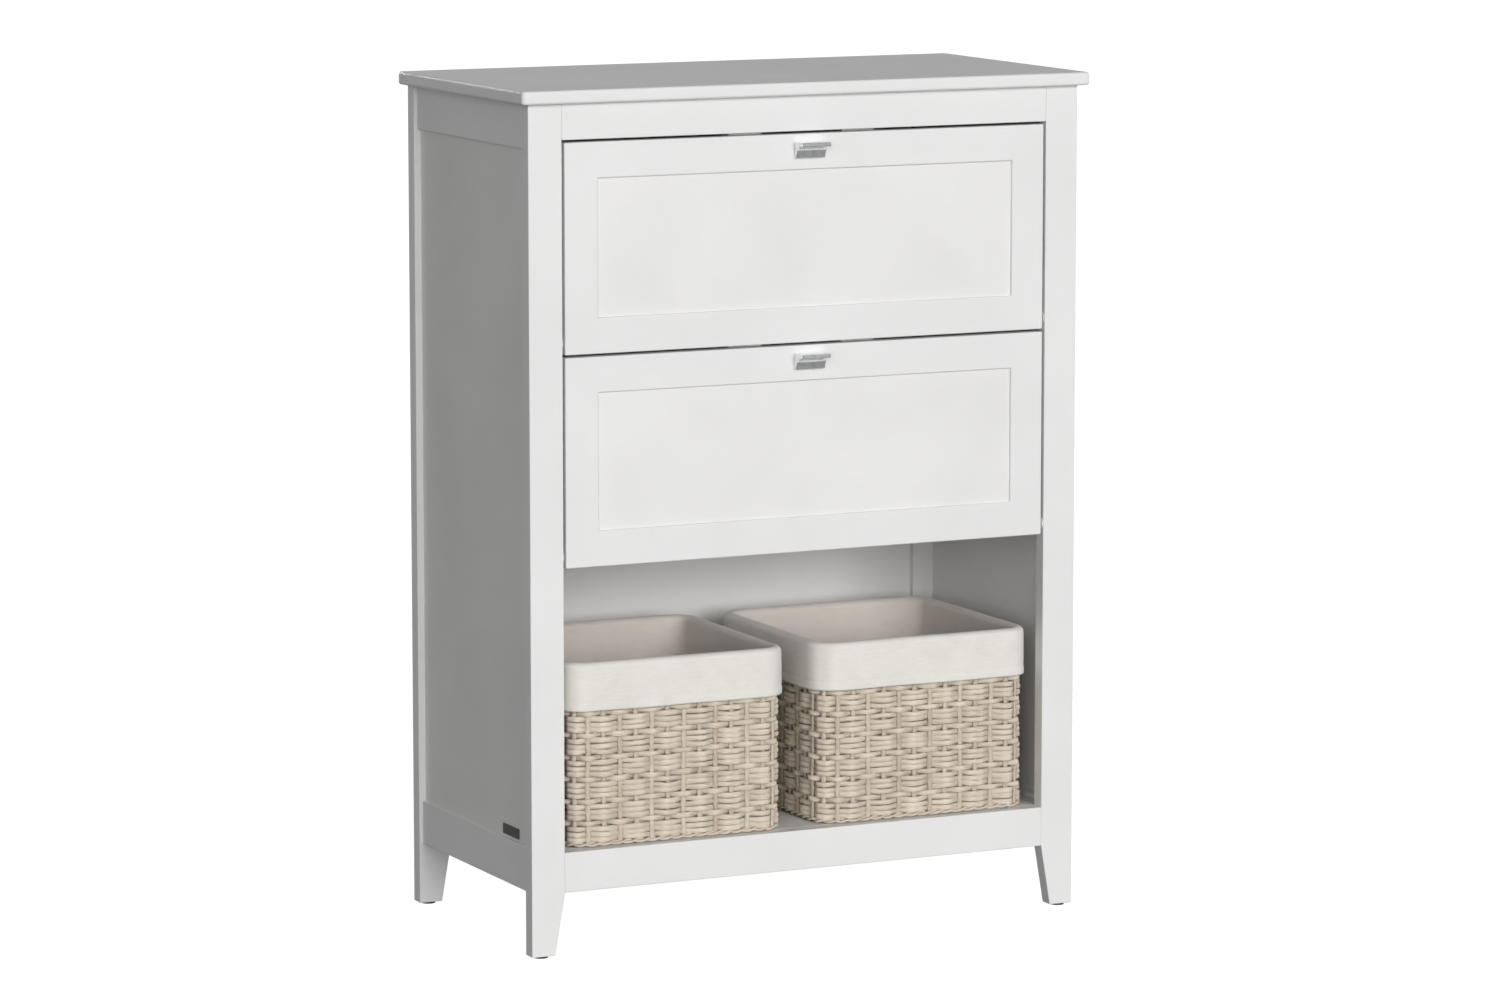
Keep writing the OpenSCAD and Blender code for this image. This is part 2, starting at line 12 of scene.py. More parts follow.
import bpy
import numpy as np
from mathutils import Euler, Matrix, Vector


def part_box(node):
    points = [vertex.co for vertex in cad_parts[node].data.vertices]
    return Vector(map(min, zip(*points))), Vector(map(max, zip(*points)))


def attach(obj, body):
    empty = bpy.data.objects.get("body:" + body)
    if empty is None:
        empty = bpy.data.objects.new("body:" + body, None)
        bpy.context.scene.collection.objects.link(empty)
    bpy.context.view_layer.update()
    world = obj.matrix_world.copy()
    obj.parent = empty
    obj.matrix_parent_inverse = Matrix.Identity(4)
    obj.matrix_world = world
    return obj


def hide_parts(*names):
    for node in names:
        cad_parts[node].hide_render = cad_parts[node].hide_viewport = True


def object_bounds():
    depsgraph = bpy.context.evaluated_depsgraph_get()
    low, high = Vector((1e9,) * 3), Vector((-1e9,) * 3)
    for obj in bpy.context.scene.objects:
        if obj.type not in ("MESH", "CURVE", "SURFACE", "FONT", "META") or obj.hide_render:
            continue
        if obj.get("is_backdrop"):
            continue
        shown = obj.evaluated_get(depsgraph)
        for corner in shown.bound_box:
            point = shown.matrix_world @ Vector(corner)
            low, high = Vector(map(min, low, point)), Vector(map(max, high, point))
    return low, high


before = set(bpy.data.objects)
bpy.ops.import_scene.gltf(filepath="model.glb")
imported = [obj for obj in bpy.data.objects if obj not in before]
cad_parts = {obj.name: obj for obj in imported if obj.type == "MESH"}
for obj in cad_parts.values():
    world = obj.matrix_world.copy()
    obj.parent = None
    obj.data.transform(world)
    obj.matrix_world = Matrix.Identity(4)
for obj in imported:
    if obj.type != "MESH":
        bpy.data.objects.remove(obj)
CAD_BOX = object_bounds()

MM = 0.001
SAME_POINT = 1e-7
LOG = logging.getLogger("shoe_cabinet")
WHITE = (1.0, 1.0, 1.0, 1.0)
Array = np.ndarray
Colour = tuple[float, float, float]
Socket = bpy.types.NodeSocket


# ---------------------------------------------------------------- options


class Axis(Enum):
    """A world axis, with its place in a point."""

    X = 0
    Y = 1
    Z = 2


class Hand(Enum):
    """The left or the right half of the cabinet, with the sign of its x."""

    LEFT = -1
    RIGHT = 1

    @property
    def word(self) -> str:
        """The side's name as it stands in the names of pieces."""
        return self.name.lower()


class Slot(Enum):
    """The material slots of the cabinet's record."""

    LACQUER = "white_lacquer"
    PANEL = "panel_lacquer"
    BEECH = "beech"
    ZINC = "zinc_steel"
    MAGNET = "magnet_steel"
    NYLON = "nylon"
    GLIDE = "glide_plastic"
    CHROME = "chrome"
    PLATE = "dark_plate"
    SEAGRASS = "seagrass"
    LINEN = "linen"


# ---------------------------------------------------------------- node trees


@dataclass
class NodeTree:
    """A material's node tree, with short calls for the nodes that the finishes use."""

    name: str
    material: bpy.types.Material = field(init=False)
    shader: bpy.types.Node = field(init=False)

    def __post_init__(self) -> None:
        """Makes the material with only its Principled shader and output."""
        self.material = bpy.data.materials.new(self.name)
        self.material.use_nodes = True
        self.shader = self.material.node_tree.nodes["Principled BSDF"]

    def add(self, kind: str, **settings: object) -> bpy.types.Node:
        """Adds a node.

        Args:
            kind: the node's type without "ShaderNode".
            settings: properties of the node.

        Returns:
            The node.
        """
        node = self.material.node_tree.nodes.new("ShaderNode" + kind)
        for key, value in settings.items():
            setattr(node, key, value)
        return node

    def link(self, source: Socket, target: Socket) -> None:
        """Joins two sockets."""
        self.material.node_tree.links.new(source, target)

    def place(self, scale: tuple[float, float, float] = (1.0, 1.0, 1.0), uv: bool = False) -> Socket:
        """Object coordinates, or the piece's own UV map, stretched by a scale on each axis.

        Args:
            scale: pattern repeats per metre on x, y and z.
            uv: whether to read the UV map.

        Returns:
            The vector socket.
        """
        texture = self.add("TexCoord")
        mapping = self.add("Mapping")
        mapping.inputs["Scale"].default_value = scale
        self.link(texture.outputs["UV" if uv else "Object"], mapping.inputs["Vector"])
        return mapping.outputs["Vector"]

    def noise(self, where: Socket, scale: float, detail: float = 3.0, twist: float = 0.0) -> Socket:
        """A noise pattern.

        Args:
            where: the coordinates.
            scale: repeats per unit of the coordinates.
            detail: octaves.
            twist: distortion.

        Returns:
            The factor socket.
        """
        node = self.add("TexNoise")
        node.inputs["Scale"].default_value = scale
        node.inputs["Detail"].default_value = detail
        node.inputs["Distortion"].default_value = twist
        self.link(where, node.inputs["Vector"])
        return node.outputs["Fac"]

    def wave(self, where: Socket, scale: float, distortion: float, direction: str) -> Socket:
        """Sine bands across a direction.

        Args:
            where: the coordinates.
            scale: band scale.
            distortion: how much the bands wander.
            direction: X, Y, Z or DIAGONAL.

        Returns:
            The factor socket.
        """
        node = self.add("TexWave", bands_direction=direction)
        node.inputs["Scale"].default_value = scale
        node.inputs["Distortion"].default_value = distortion
        node.inputs["Detail"].default_value = 2.0
        self.link(where, node.inputs["Vector"])
        return node.outputs["Fac"]

    def ramp(self, value: Socket, stops: list[tuple[float, Colour]]) -> Socket:
        """A colour ramp over a value.

        Args:
            value: what drives it.
            stops: positions and linear colours.

        Returns:
            The colour socket.
        """
        node = self.add("ValToRGB")
        band = node.color_ramp
        while len(band.elements) < len(stops):
            band.elements.new(0.5)
        for element, (position, colour) in zip(band.elements, stops, strict=True):
            element.position = position
            element.color = (*colour, 1.0)
        self.link(value, node.inputs["Fac"])
        return node.outputs["Color"]

    def spread(self, value: Socket, low: float, high: float, whole: bool = False) -> Socket:
        """A pattern's range mapped to another one.

        Args:
            value: what is mapped.
            low: the result for the pattern's low.
            high: the result for its high.
            whole: whether the pattern runs from 0 to 1; a noise runs from about 0.3 to 0.7.

        Returns:
            The result socket.
        """
        node = self.add("MapRange")
        start, end = (0.0, 1.0) if whole else (0.3, 0.7)
        for key, number in (("From Min", start), ("From Max", end), ("To Min", low), ("To Max", high)):
            node.inputs[key].default_value = number
        self.link(value, node.inputs["Value"])
        return node.outputs["Result"]

    def mixed(self, share: Socket, a: Socket, b: Socket) -> Socket:
        """Two colours mixed.

        Args:
            share: how much of b.
            a: the first colour.
            b: the second colour.

        Returns:
            The colour socket.
        """
        node = self.add("Mix", data_type="RGBA")
        factor, first, second = (node.inputs[k] for k in (0, 6, 7))
        self.link(share, factor)
        self.link(a, first)
        self.link(b, second)
        return node.outputs[2]

    def tone_and_painted_shade(self) -> Socket:
        """The tone of each point of a new piece, with painted shade mixed into it on the weave and the liner.
        """
        return self.add("Attribute", attribute_name="tone_and_painted_shade").outputs["Fac"]

    def maths(self, how: str, a: Socket, b: Socket | float) -> Socket:
        """Two values joined by a sum, product or other operation.

        Args:
            how: the operation's name.
            a: the first value.
            b: the second value, as a socket or a number.

        Returns:
            The result socket.
        """
        node = self.add("Math", operation=how)
        self.link(a, node.inputs[0])
        if isinstance(b, float):
            node.inputs[1].default_value = b
        else:
            self.link(b, node.inputs[1])
        return node.outputs[0]

    def total(self, *parts: tuple[Socket, float]) -> Socket:
        """A weighted sum.

        Args:
            parts: each value with its weight.

        Returns:
            The sum's socket.
        """
        first, *others = (self.maths("MULTIPLY", value, weight) for value, weight in parts)
        for other in others:
            first = self.maths("ADD", first, other)
        return first

    def relief(self, height: Socket, depth: float, strength: float) -> None:
        """Bumps the shader's surface by a height.

        Args:
            height: the pattern, 0 to 1.
            depth: metres between its low and high.
            strength: how strongly it shows.
        """
        node = self.add("Bump")
        node.inputs["Strength"].default_value = strength
        node.inputs["Distance"].default_value = depth
        self.link(height, node.inputs["Height"])
        self.link(node.outputs["Normal"], self.shader.inputs["Normal"])

    def colour(self, source: Socket) -> None:
        """Gives the shader its base colour."""
        self.link(source, self.shader.inputs["Base Color"])

    def rough(self, source: Socket) -> None:
        """Gives the shader its roughness."""
        self.link(source, self.shader.inputs["Roughness"])

    def constant(self, **values: float) -> None:
        """Sets numbers on the shader's own sockets; an underscore in a name stands for a space."""
        for key, value in values.items():
            self.shader.inputs[key.replace("_", " ")].default_value = value


# ---------------------------------------------------------------- finishes


class Finish(Protocol):
    """Anything that can make its own material."""

    def material(self) -> bpy.types.Material:
        """The finish's material."""


def toned(tint: Colour, gain: float, lift: float = 0.0) -> Colour:
    """A colour made lighter or darker.

    Args:
        tint: the colour.
        gain: what it is multiplied by.
        lift: what is then added.

    Returns:
        The new colour, at most white.
    """
    return tuple(min(1.0, channel * gain + lift) for channel in tint)


@dataclass(frozen=True)
class Lacquer:
    """Sprayed satin lacquer: an almost even tint, a fine orange peel and faint drifts in its gloss.

    The scales are repeats per metre, and the peel is how deep it is.
    """

    name: str
    tint: Colour
    drift: float = 0.02
    roughness: float = 0.38
    peel: float = 0.05 * MM
    cloud_scale: float = 6.5
    gloss_scale: float = 31.0
    fine_scale: float = 620.0
    broad_scale: float = 95.0

    def material(self) -> bpy.types.Material:
        """The finish's material."""
        tree = NodeTree(self.name)
        here = tree.place()
        cloud = tree.noise(here, self.cloud_scale, 4.0, 0.4)
        tree.colour(tree.ramp(cloud, [
            (0.32, toned(self.tint, 1.0 - self.drift)), (0.68, toned(self.tint, 1.0 + self.drift)),
        ]))
        gloss = tree.noise(here, self.gloss_scale)
        tree.rough(tree.spread(gloss, self.roughness - 0.04, self.roughness + 0.05))
        fine = tree.noise(here, self.fine_scale, 2.0)
        broad = tree.noise(here, self.broad_scale, 2.0)
        tree.relief(tree.total((fine, 1.0), (broad, 1.6)), self.peel, 0.55)
        tree.constant(Specular_IOR_Level=0.3)
        return tree.material


@dataclass(frozen=True)
class Metal:
    """Bare or plated metal with fine wiping marks and small stains in its polish.

    The marks are repeats per metre on each axis, and the depth is theirs.
    """

    name: str
    tint: Colour
    roughness: float
    marks: tuple[float, float, float] = (900.0, 60.0, 60.0)
    depth: float = 0.02 * MM
    stain_scale: float = 160.0

    def material(self) -> bpy.types.Material:
        """The finish's material."""
        tree = NodeTree(self.name)
        drawn = tree.noise(tree.place(self.marks), 1.0)
        stain = tree.noise(tree.place(), self.stain_scale)
        tree.colour(tree.ramp(stain, [(0.3, toned(self.tint, 0.82)), (0.62, self.tint)]))
        tree.rough(tree.spread(drawn, self.roughness * 0.8, self.roughness * 1.25))
        tree.relief(drawn, self.depth, 0.4)
        tree.constant(Metallic=1.0)
        return tree.material


@dataclass(frozen=True)
class Moulded:
    """Moulded plastic with a fine spark-eroded texture. The scales are repeats per metre."""

    name: str
    tint: Colour
    roughness: float
    grain_scale: float = 900.0
    cloud_scale: float = 40.0
    depth: float = 0.04 * MM

    def material(self) -> bpy.types.Material:
        """The finish's material."""
        tree = NodeTree(self.name)
        here = tree.place()
        grain = tree.noise(here, self.grain_scale, 2.0)
        cloud = tree.noise(here, self.cloud_scale, 2.0)
        tree.colour(tree.ramp(cloud, [(0.35, self.tint), (0.65, toned(self.tint, 1.12, 0.004))]))
        tree.rough(tree.spread(grain, self.roughness - 0.06, self.roughness + 0.08))
        tree.relief(grain, self.depth, 0.5)
        return tree.material


@dataclass(frozen=True)
class Beech:
    """Turned beech: pale straw with short darker flecks along the grain."""

    name: str
    light: Colour
    dark: Colour
    flecks: tuple[float, float, float] = (420.0, 60.0, 420.0)
    depth: float = 0.06 * MM

    def material(self) -> bpy.types.Material:
        """The finish's material."""
        tree = NodeTree(self.name)
        fleck = tree.noise(tree.place(self.flecks), 1.0, 4.0, 0.6)
        tree.colour(tree.ramp(fleck, [(0.35, self.dark), (0.6, self.light)]))
        tree.rough(tree.spread(fleck, 0.5, 0.66))
        tree.relief(fleck, self.depth, 0.5)
        return tree.material


@dataclass(frozen=True)
class Seagrass:
    """Dried seagrass: twisted plies of ribbed fibre, straw to grey-brown, that differ from strand to strand.

    It reads the strand's own map, whose u is the distance along it in metres and whose v goes once around it.
    """

    name: str
    dark: Colour
    mid: Colour
    light: Colour
    fibres: tuple[float, float, float] = (90.0, 9.0, 1.0)
    plies: tuple[float, float, float] = (130.0, 3.0, 1.0)
    patch_scale: float = 34.0
    depth: float = 0.7 * MM

    def material(self) -> bpy.types.Material:
        """The finish's material."""
        tree = NodeTree(self.name)
        fibre = tree.noise(tree.place(self.fibres, uv=True), 1.0, 4.0, 0.5)
        patch = tree.noise(tree.place(), self.patch_scale, 3.0, 0.3)
        ply = tree.wave(tree.place(self.plies, uv=True), 0.32, 1.4, "DIAGONAL")
        # The per-point value mixes seeded tone with painted shade: strands are darker where recessed and
        # lighter in front, and stakes are darker.
        tone = tree.total((fibre, 0.45), (patch, 0.35), (tree.tone_and_painted_shade(), 0.32), (ply, 0.1))
        tree.colour(tree.ramp(tone, [(0.3, self.dark), (0.56, self.mid), (0.84, self.light)]))
        tree.rough(tree.spread(fibre, 0.52, 0.78))
        tree.relief(tree.total((ply, 0.8), (fibre, 0.7)), self.depth, 0.8)
        tree.constant(Sheen_Weight=0.12, Sheen_Roughness=0.5, IOR=1.42)
        return tree.material


@dataclass(frozen=True)
class Cotton:
    """Plain-woven cotton: crossing threads, slubs and soft creases, on the cloth's own map in metres.

    The per-point shade value says how much of the inside colour shows, 0 outside the basket and 1 within it;
    the inside colour is painted shade, darker and warmer, for the shade and bounce light inside the basket.
    The band is the wave's scale that gives about one thread to a unit.
    """

    name: str
    tint: Colour
    shadow: Colour
    # inside: painted shade, the darker, warmer colour of the cloth inside the basket.
    inside: Colour
    thread: float = 0.9 * MM
    slubs: tuple[float, float, float] = (70.0, 700.0, 1.0)
    crease_scale: float = 27.0
    depth: float = 0.7 * MM
    band: float = 0.31831

    def material(self) -> bpy.types.Material:
        """The finish's material."""
        tree = NodeTree(self.name)
        across = 1.0 / self.thread
        warp = tree.wave(tree.place((across, 0.0, 0.0), uv=True), self.band, 0.25, "X")
        weft = tree.wave(tree.place((0.0, across, 0.0), uv=True), self.band, 0.25, "Y")
        cloth = tree.maths("MULTIPLY", warp, weft)
        slub = tree.noise(tree.place(self.slubs, uv=True), 1.0)
        crease = tree.noise(tree.place(), self.crease_scale, 4.0, 0.7)
        tone = tree.total((slub, 0.5), (crease, 0.5))
        outer = tree.ramp(tone, [(0.32, self.shadow), (0.62, self.tint)])
        # The inner ramp is painted shade: the cloth inside the basket is darker and warmer.
        inner = tree.ramp(tone, [(0.32, toned(self.inside, 0.9)), (0.62, self.inside)])
        tree.colour(tree.mixed(tree.tone_and_painted_shade(), outer, inner))
        tree.rough(tree.spread(slub, 0.82, 0.94))
        tree.relief(tree.total((cloth, 0.35), (crease, 1.6), (slub, 0.3)), self.depth, 0.55)
        tree.constant(Sheen_Weight=0.25, Sheen_Roughness=0.6)
        return tree.material


@dataclass
class Palette:
    """Every finish of the cabinet by its slot, each made into a material once."""

    finishes: dict[Slot, Finish] = field(default_factory=lambda: {
        Slot.LACQUER: Lacquer("satin_white_lacquer", (0.80, 0.80, 0.795)),
        Slot.PANEL: Lacquer("thin_board_lacquer", (0.802, 0.797, 0.788), drift=0.03, roughness=0.45),
        Slot.BEECH: Beech("beech_dowel", (0.62, 0.45, 0.28), (0.42, 0.27, 0.15)),
        Slot.ZINC: Metal("zinc_plate", (0.62, 0.63, 0.65), 0.32),
        Slot.MAGNET: Metal("magnet_face", (0.5, 0.5, 0.51), 0.28, (300.0, 300.0, 300.0)),
        Slot.NYLON: Moulded("natural_nylon", (0.74, 0.74, 0.71), 0.42),
        Slot.GLIDE: Moulded("glide_plastic_black", (0.02, 0.02, 0.022), 0.5),
        Slot.CHROME: Metal("bright_chrome", (0.86, 0.87, 0.88), 0.11, (1400.0, 90.0, 90.0), 0.008 * MM),
        Slot.PLATE: Moulded("blank_plate_dark", (0.018, 0.018, 0.02), 0.38, 1400.0),
        Slot.SEAGRASS: Seagrass("dried_seagrass", (0.42, 0.34, 0.25), (0.6, 0.52, 0.42), (0.77, 0.69, 0.57)),
        # The cotton's third colour is painted shade for the cloth inside the basket.
        Slot.LINEN: Cotton("cream_cotton", (0.84, 0.815, 0.765), (0.76, 0.735, 0.68), (0.73, 0.67, 0.61)),
    })
    made: dict[Slot, bpy.types.Material] = field(default_factory=dict)

    def __getitem__(self, slot: Slot) -> bpy.types.Material:
        """The material of a slot.

        Args:
            slot: the slot.

        Returns:
            Its material, made when it is first asked for.
        """
        if slot not in self.made:
            self.made[slot] = self.finishes[slot].material()
        return self.made[slot]


# ---------------------------------------------------------------- surfaces


@dataclass
class Surface:
    """Patches of points and faces gathered into one mesh.

    Each patch is a grid of points, and a face is four neighbours in it. A row closes on itself, so its
    last point is joined to its first one.
    """

    name: str
    points: list[Array] = field(default_factory=list)
    faces: list[list[list[int]]] = field(default_factory=list)
    corners: list[Array] = field(default_factory=list)
    shades: list[Array] = field(default_factory=list)
    count: int = 0

    def grids(self, points: Array, wrap_rows: bool = False, lengths: Array | None = None,
              shade: Array | None = None, caps: bool = False) -> None:
        """Adds grids of the same shape.

        Args:
            points: (grids, rows, cols, 3) points.
            wrap_rows: whether the last row joins the first.
            lengths: (rows + 1,) distance along the rows for the map's u; the row number if left out.
            shade: (grids,) or (grids, rows) tone of each grid or row, with painted shade mixed in on some
                pieces.
            caps: whether the first and last rows are closed by a face.
        """
        number, rows, cols, _ = points.shape
        row = np.arange(rows if wrap_rows else rows - 1)
        i, j = np.meshgrid(row, np.arange(cols), indexing="ij")
        near, far = i * cols, (i + 1) % rows * cols
        left, right = j, (j + 1) % cols
        quads = np.stack([near + left, far + left, far + right, near + right], -1).reshape(-1, 4)
        start = self.count + np.arange(number)[:, None, None] * rows * cols
        self.faces.append((quads[None] + start).reshape(-1, 4).tolist())
        along = np.arange(rows + 1, dtype=float) if lengths is None else lengths
        u = np.stack([along[i], along[i + 1], along[i + 1], along[i]], -1)
        v = np.stack([j, j, j + 1, j + 1], -1) / cols
        corner = np.stack([u, v], -1).reshape(-1, 2)
        self.corners.append(np.tile(corner, (number, 1)))
        if caps:
            ring = np.arange(cols)
            ends = np.stack([ring, (rows - 1) * cols + ring[::-1]])
            self.faces.append((ends[None] + start).reshape(-1, cols).tolist())
            flat = np.stack([np.zeros(cols), ring / cols], -1)
            self.corners.append(np.tile(flat, (2 * number, 1)))
        self.points.append(points.reshape(-1, 3))
        value = np.zeros(number) if shade is None else shade
        self.shades.append(np.repeat(value, number * rows * cols // value.size))
        self.count += number * rows * cols

    def build(self, body: str, slot: Slot, palette: Palette, replaces: tuple[str, ...] = (),
              smooth: float = 35.0, weighted: bool = True) -> bpy.types.Object:
        """Makes the mesh and its object, and lets it ride on a body.

        Args:
            body: the body it moves with.
            slot: the slot that its finish comes from.
            palette: the finishes.
            replaces: the structure's nodes that it stands for.
            smooth: edges sharper than this many degrees stay crisp.
            weighted: whether large faces stay flat next to the rounding at their edges.

        Returns:
            The object.
        """
        mesh = bpy.data.meshes.new(self.name)
        mesh.from_pydata(np.concatenate(self.points), [], [f for group in self.faces for f in group])
        own_map = mesh.uv_layers.new(name="strand_map")
        own_map.data.foreach_set("uv", np.concatenate(self.corners).astype(np.float32).ravel())
        shade = mesh.attributes.new("tone_and_painted_shade", "FLOAT", "POINT")
        shade.data.foreach_set("value", np.concatenate(self.shades).astype(np.float32))
        mesh.update()
        if signed_volume(mesh) < 0:
            mesh.flip_normals()
        mesh.shade_smooth()
        mesh.set_sharp_from_angle(angle=math.radians(smooth))
        piece = bpy.data.objects.new(self.name, mesh)
        bpy.context.scene.collection.objects.link(piece)
        mesh.materials.append(palette[slot])
        if weighted:
            normals = piece.modifiers.new("face_normals", "WEIGHTED_NORMAL")
            normals.keep_sharp = True
        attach(piece, body)
        if replaces:
            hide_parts(*replaces)
        LOG.info("%s on %s: %d faces, %s", self.name, body, len(mesh.polygons), slot.value)
        return piece


def signed_volume(mesh: bpy.types.Mesh) -> float:
    """A mesh's volume, as a sixth of the sum of each triangle's triple product; negative if inside out.

    Args:
        mesh: the mesh.

    Returns:
        Cubic metres.
    """
    mesh.calc_loop_triangles()
    where = np.zeros(len(mesh.vertices) * 3, np.float32)
    triangles = np.zeros(len(mesh.loop_triangles) * 3, np.int32)
    mesh.vertices.foreach_get("co", where)
    mesh.loop_triangles.foreach_get("vertices", triangles)
    a, b, c = where.reshape(-1, 3).astype(float)[triangles.reshape(-1, 3)].transpose(1, 0, 2)
    return float((a * np.cross(b, c)).sum() / 6)


def box_of(*nodes: str) -> Array:
    """The box around some of the structure's nodes.

    Args:
        nodes: the nodes' names.

    Returns:
        A (2, 3) array of the lowest and highest corner.
    """
    boxes = np.array([[list(corner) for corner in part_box(n)] for n in nodes])
    return np.stack([boxes[:, 0].min(0), boxes[:, 1].max(0)])


def filleted(outline: Array, radii: Array, steps: int = 5) -> Array:
    """An outline with round corners.

    Each corner becomes an arc that touches both its edges: it starts the radius times the tangent of half
    the turn before the corner, and its normal turns evenly from one edge's to the next one's.

    Args:
        outline: (n, 2) corners, in either direction.
        radii: (n,) radius at each corner.
        steps: pieces of an arc.

    Returns:
        An (m, 2) outline without doubled points.
    """
    before = outline - np.roll(outline, 1, 0)
    before /= np.linalg.norm(before, axis=1, keepdims=True)
    after = np.roll(before, -1, 0)
    turn = np.arctan2(before[:, 0] * after[:, 1] - before[:, 1] * after[:, 0], (before * after).sum(1))
    side = np.where(turn < 0, -1.0, 1.0)
    first = outline - before * (radii * np.tan(np.abs(turn) / 2))[:, None]
    normal = np.arctan2(-before[:, 0], before[:, 1])
    angle = normal[:, None] + turn[:, None] * np.linspace(0, 1, steps + 1)
    direction = np.stack([np.cos(angle), np.sin(angle)], -1)
    reach = (side * radii)[:, None, None]
    arcs = first[:, None] - direction[:, :1] * reach + direction * reach
    points = arcs.reshape(-1, 2)
    apart = np.linalg.norm(points - np.roll(points, 1, 0), axis=1)
    return points[apart > SAME_POINT]


def drawn_in(outline: Array) -> Array:
    """The way each point of an outline moves as the outline shrinks: the mitre of its two edges' normals.

    Args:
        outline: (n, 2) points, anticlockwise.

    Returns:
        (n, 2) inward steps for a shrink of one.
    """
    edge = np.roll(outline, -1, 0) - outline
    edge /= np.linalg.norm(edge, axis=1, keepdims=True)
    after = np.stack([-edge[:, 1], edge[:, 0]], -1)
    before = np.roll(after, 1, 0)
    return (before + after) / (1 + (before * after).sum(1))[:, None]


def eased_block(outline: Array, low: float, high: float, ease: float, axis: Axis, steps: int = 4) -> Array:
    """An outline carried along an axis, with both ends rounded over.

    Around each end the outline shrinks by the ease times one minus the cosine of an angle while it moves
    on by the ease times the angle's sine, as the angle goes from 0 to 90 degrees.

    Args:
        outline: (n, 2) points, anticlockwise.
        low: where the block starts on the axis.
        high: where it ends.
        ease: radius of the rounding.
        axis: the axis.
        steps: pieces of the rounding.

    Returns:
        A (1, rows, n, 3) grid, whose end rows need caps.
    """
    angle = np.linspace(0, math.pi / 2, steps + 1)
    shrink = ease * (1 - np.cos(angle))
    advance = ease * np.sin(angle)
    inward = np.concatenate([shrink[::-1], shrink])
    along = np.concatenate([low + ease - advance[::-1], high - ease + advance])
    ring = outline[None] + drawn_in(outline)[None] * inward[:, None, None]
    along = np.broadcast_to(along[:, None, None], (*ring.shape[:2], 1))
    return np.concatenate([ring[..., :axis.value], along, ring[..., axis.value:]], -1)[None]


def rectangle(box: Array, axis: Axis) -> tuple[Array, float, float]:
    """A box seen along an axis.

    Args:
        box: (2, 3) lowest and highest corner.
        axis: the axis.

    Returns:
        The anticlockwise outline, and where the box starts and ends on the axis.
    """
    p, q = (k for k in range(3) if k != axis.value)
    low, high = box
    outline = np.array([[low[p], low[q]], [high[p], low[q]], [high[p], high[q]], [low[p], high[q]]])
    return outline, float(low[axis.value]), float(high[axis.value])


def corner_angles(per_corner: int) -> Array:
    """The directions of four corners' arcs, anticlockwise from the lower right corner's.

    Args:
        per_corner: pieces of a corner's arc.

    Returns:
        (4, per_corner + 1) angles.
    """
    return (np.arange(4)[:, None] - 1) * math.pi / 2 + np.linspace(0, math.pi / 2, per_corner + 1)


def circle(sides: int) -> tuple[Array, Array]:
    """Cosines and sines around a strand's section."""
    angle = np.arange(sides) * 2 * math.pi / sides
    return np.cos(angle), np.sin(angle)


def round_rectangle(half: tuple[float, float], radius: Array, grow: Array,
                    per_corner: int, per_side: int) -> Array:
    """Rectangles with round corners, one inside the other.

    A point is the corner of the inner rectangle, which ends a radius short of the sides, plus the grown
    radius times a direction; between two corners the points go evenly along the straight side.

    Args:
        half: half the width and half the depth.
        radius: (n,) the corner's radius before it grows.
        grow: (n,) how far each rectangle stands out.
        per_corner: pieces of a corner's arc.
        per_side: pieces of a straight side.

    Returns:
        (n, points, 2) rings, anticlockwise from the right end of the lower side.
    """
    angle = corner_angles(per_corner)
    sign = np.array([[1, -1], [1, 1], [-1, 1], [-1, -1]], float)
    direction = np.stack([np.cos(angle), np.sin(angle)], -1)
    inner = np.array(half) - radius[:, None]
    reach = (radius + grow)[:, None, None, None]
    arcs = (sign[None] * inner[:, None])[:, :, None] + direction[None] * reach
    onward = np.roll(arcs[:, :, 0], -1, 1)
    share = np.linspace(0, 1, per_side + 1)[1:-1]
    gap = (onward - arcs[:, :, -1])[:, :, None]
    sides = arcs[:, :, -1][:, :, None] + gap * share[None, None, :, None]
    return np.concatenate([arcs, sides], 2).reshape(len(radius), -1, 2)


@dataclass(frozen=True)
class Ring:
    """A closed level path around a basket, measured evenly along its length."""

    centre: tuple[float, float]
    half: tuple[float, float]
    radius: float
    grow: float = 0.0
    per_corner: ClassVar[int] = 24

    def dense(self) -> tuple[Array, Array]:
        """The path's arcs and the middles of its sides, closed, and the outward normals there."""
        path = round_rectangle(
            self.half, np.array([self.radius]), np.array([self.grow]), self.per_corner, 2)[0]
        angle = corner_angles(self.per_corner)
        turned = np.concatenate([angle, angle[:, -1:]], 1).reshape(-1)
        normal = np.stack([np.cos(turned), np.sin(turned)], -1)
        return np.vstack([path, path[:1]]), np.vstack([normal, normal[:1]])

    @property
    def length(self) -> float:
        """The length of the path."""
        path, _ = self.dense()
        return float(np.linalg.norm(np.diff(path, axis=0), axis=1).sum())

    def at(self, share: Array) -> tuple[Array, Array]:
        """Points on the path and their outward normals.

        Args:
            share: how far along the path, 0 to 1.

        Returns:
            Two arrays shaped as share, with a last axis of 2.
        """
        path, normal = self.dense()
        run = np.concatenate([[0.0], np.cumsum(np.linalg.norm(np.diff(path, axis=0), axis=1))])
        run /= run[-1]
        where = np.mod(share, 1.0)
        points = np.stack([np.interp(where, run, path[:, k]) for k in (0, 1)], -1)
        across = np.stack([np.interp(where, run, normal[:, k]) for k in (0, 1)], -1)
        across /= np.linalg.norm(across, axis=-1, keepdims=True)
        return points + np.array(self.centre), across


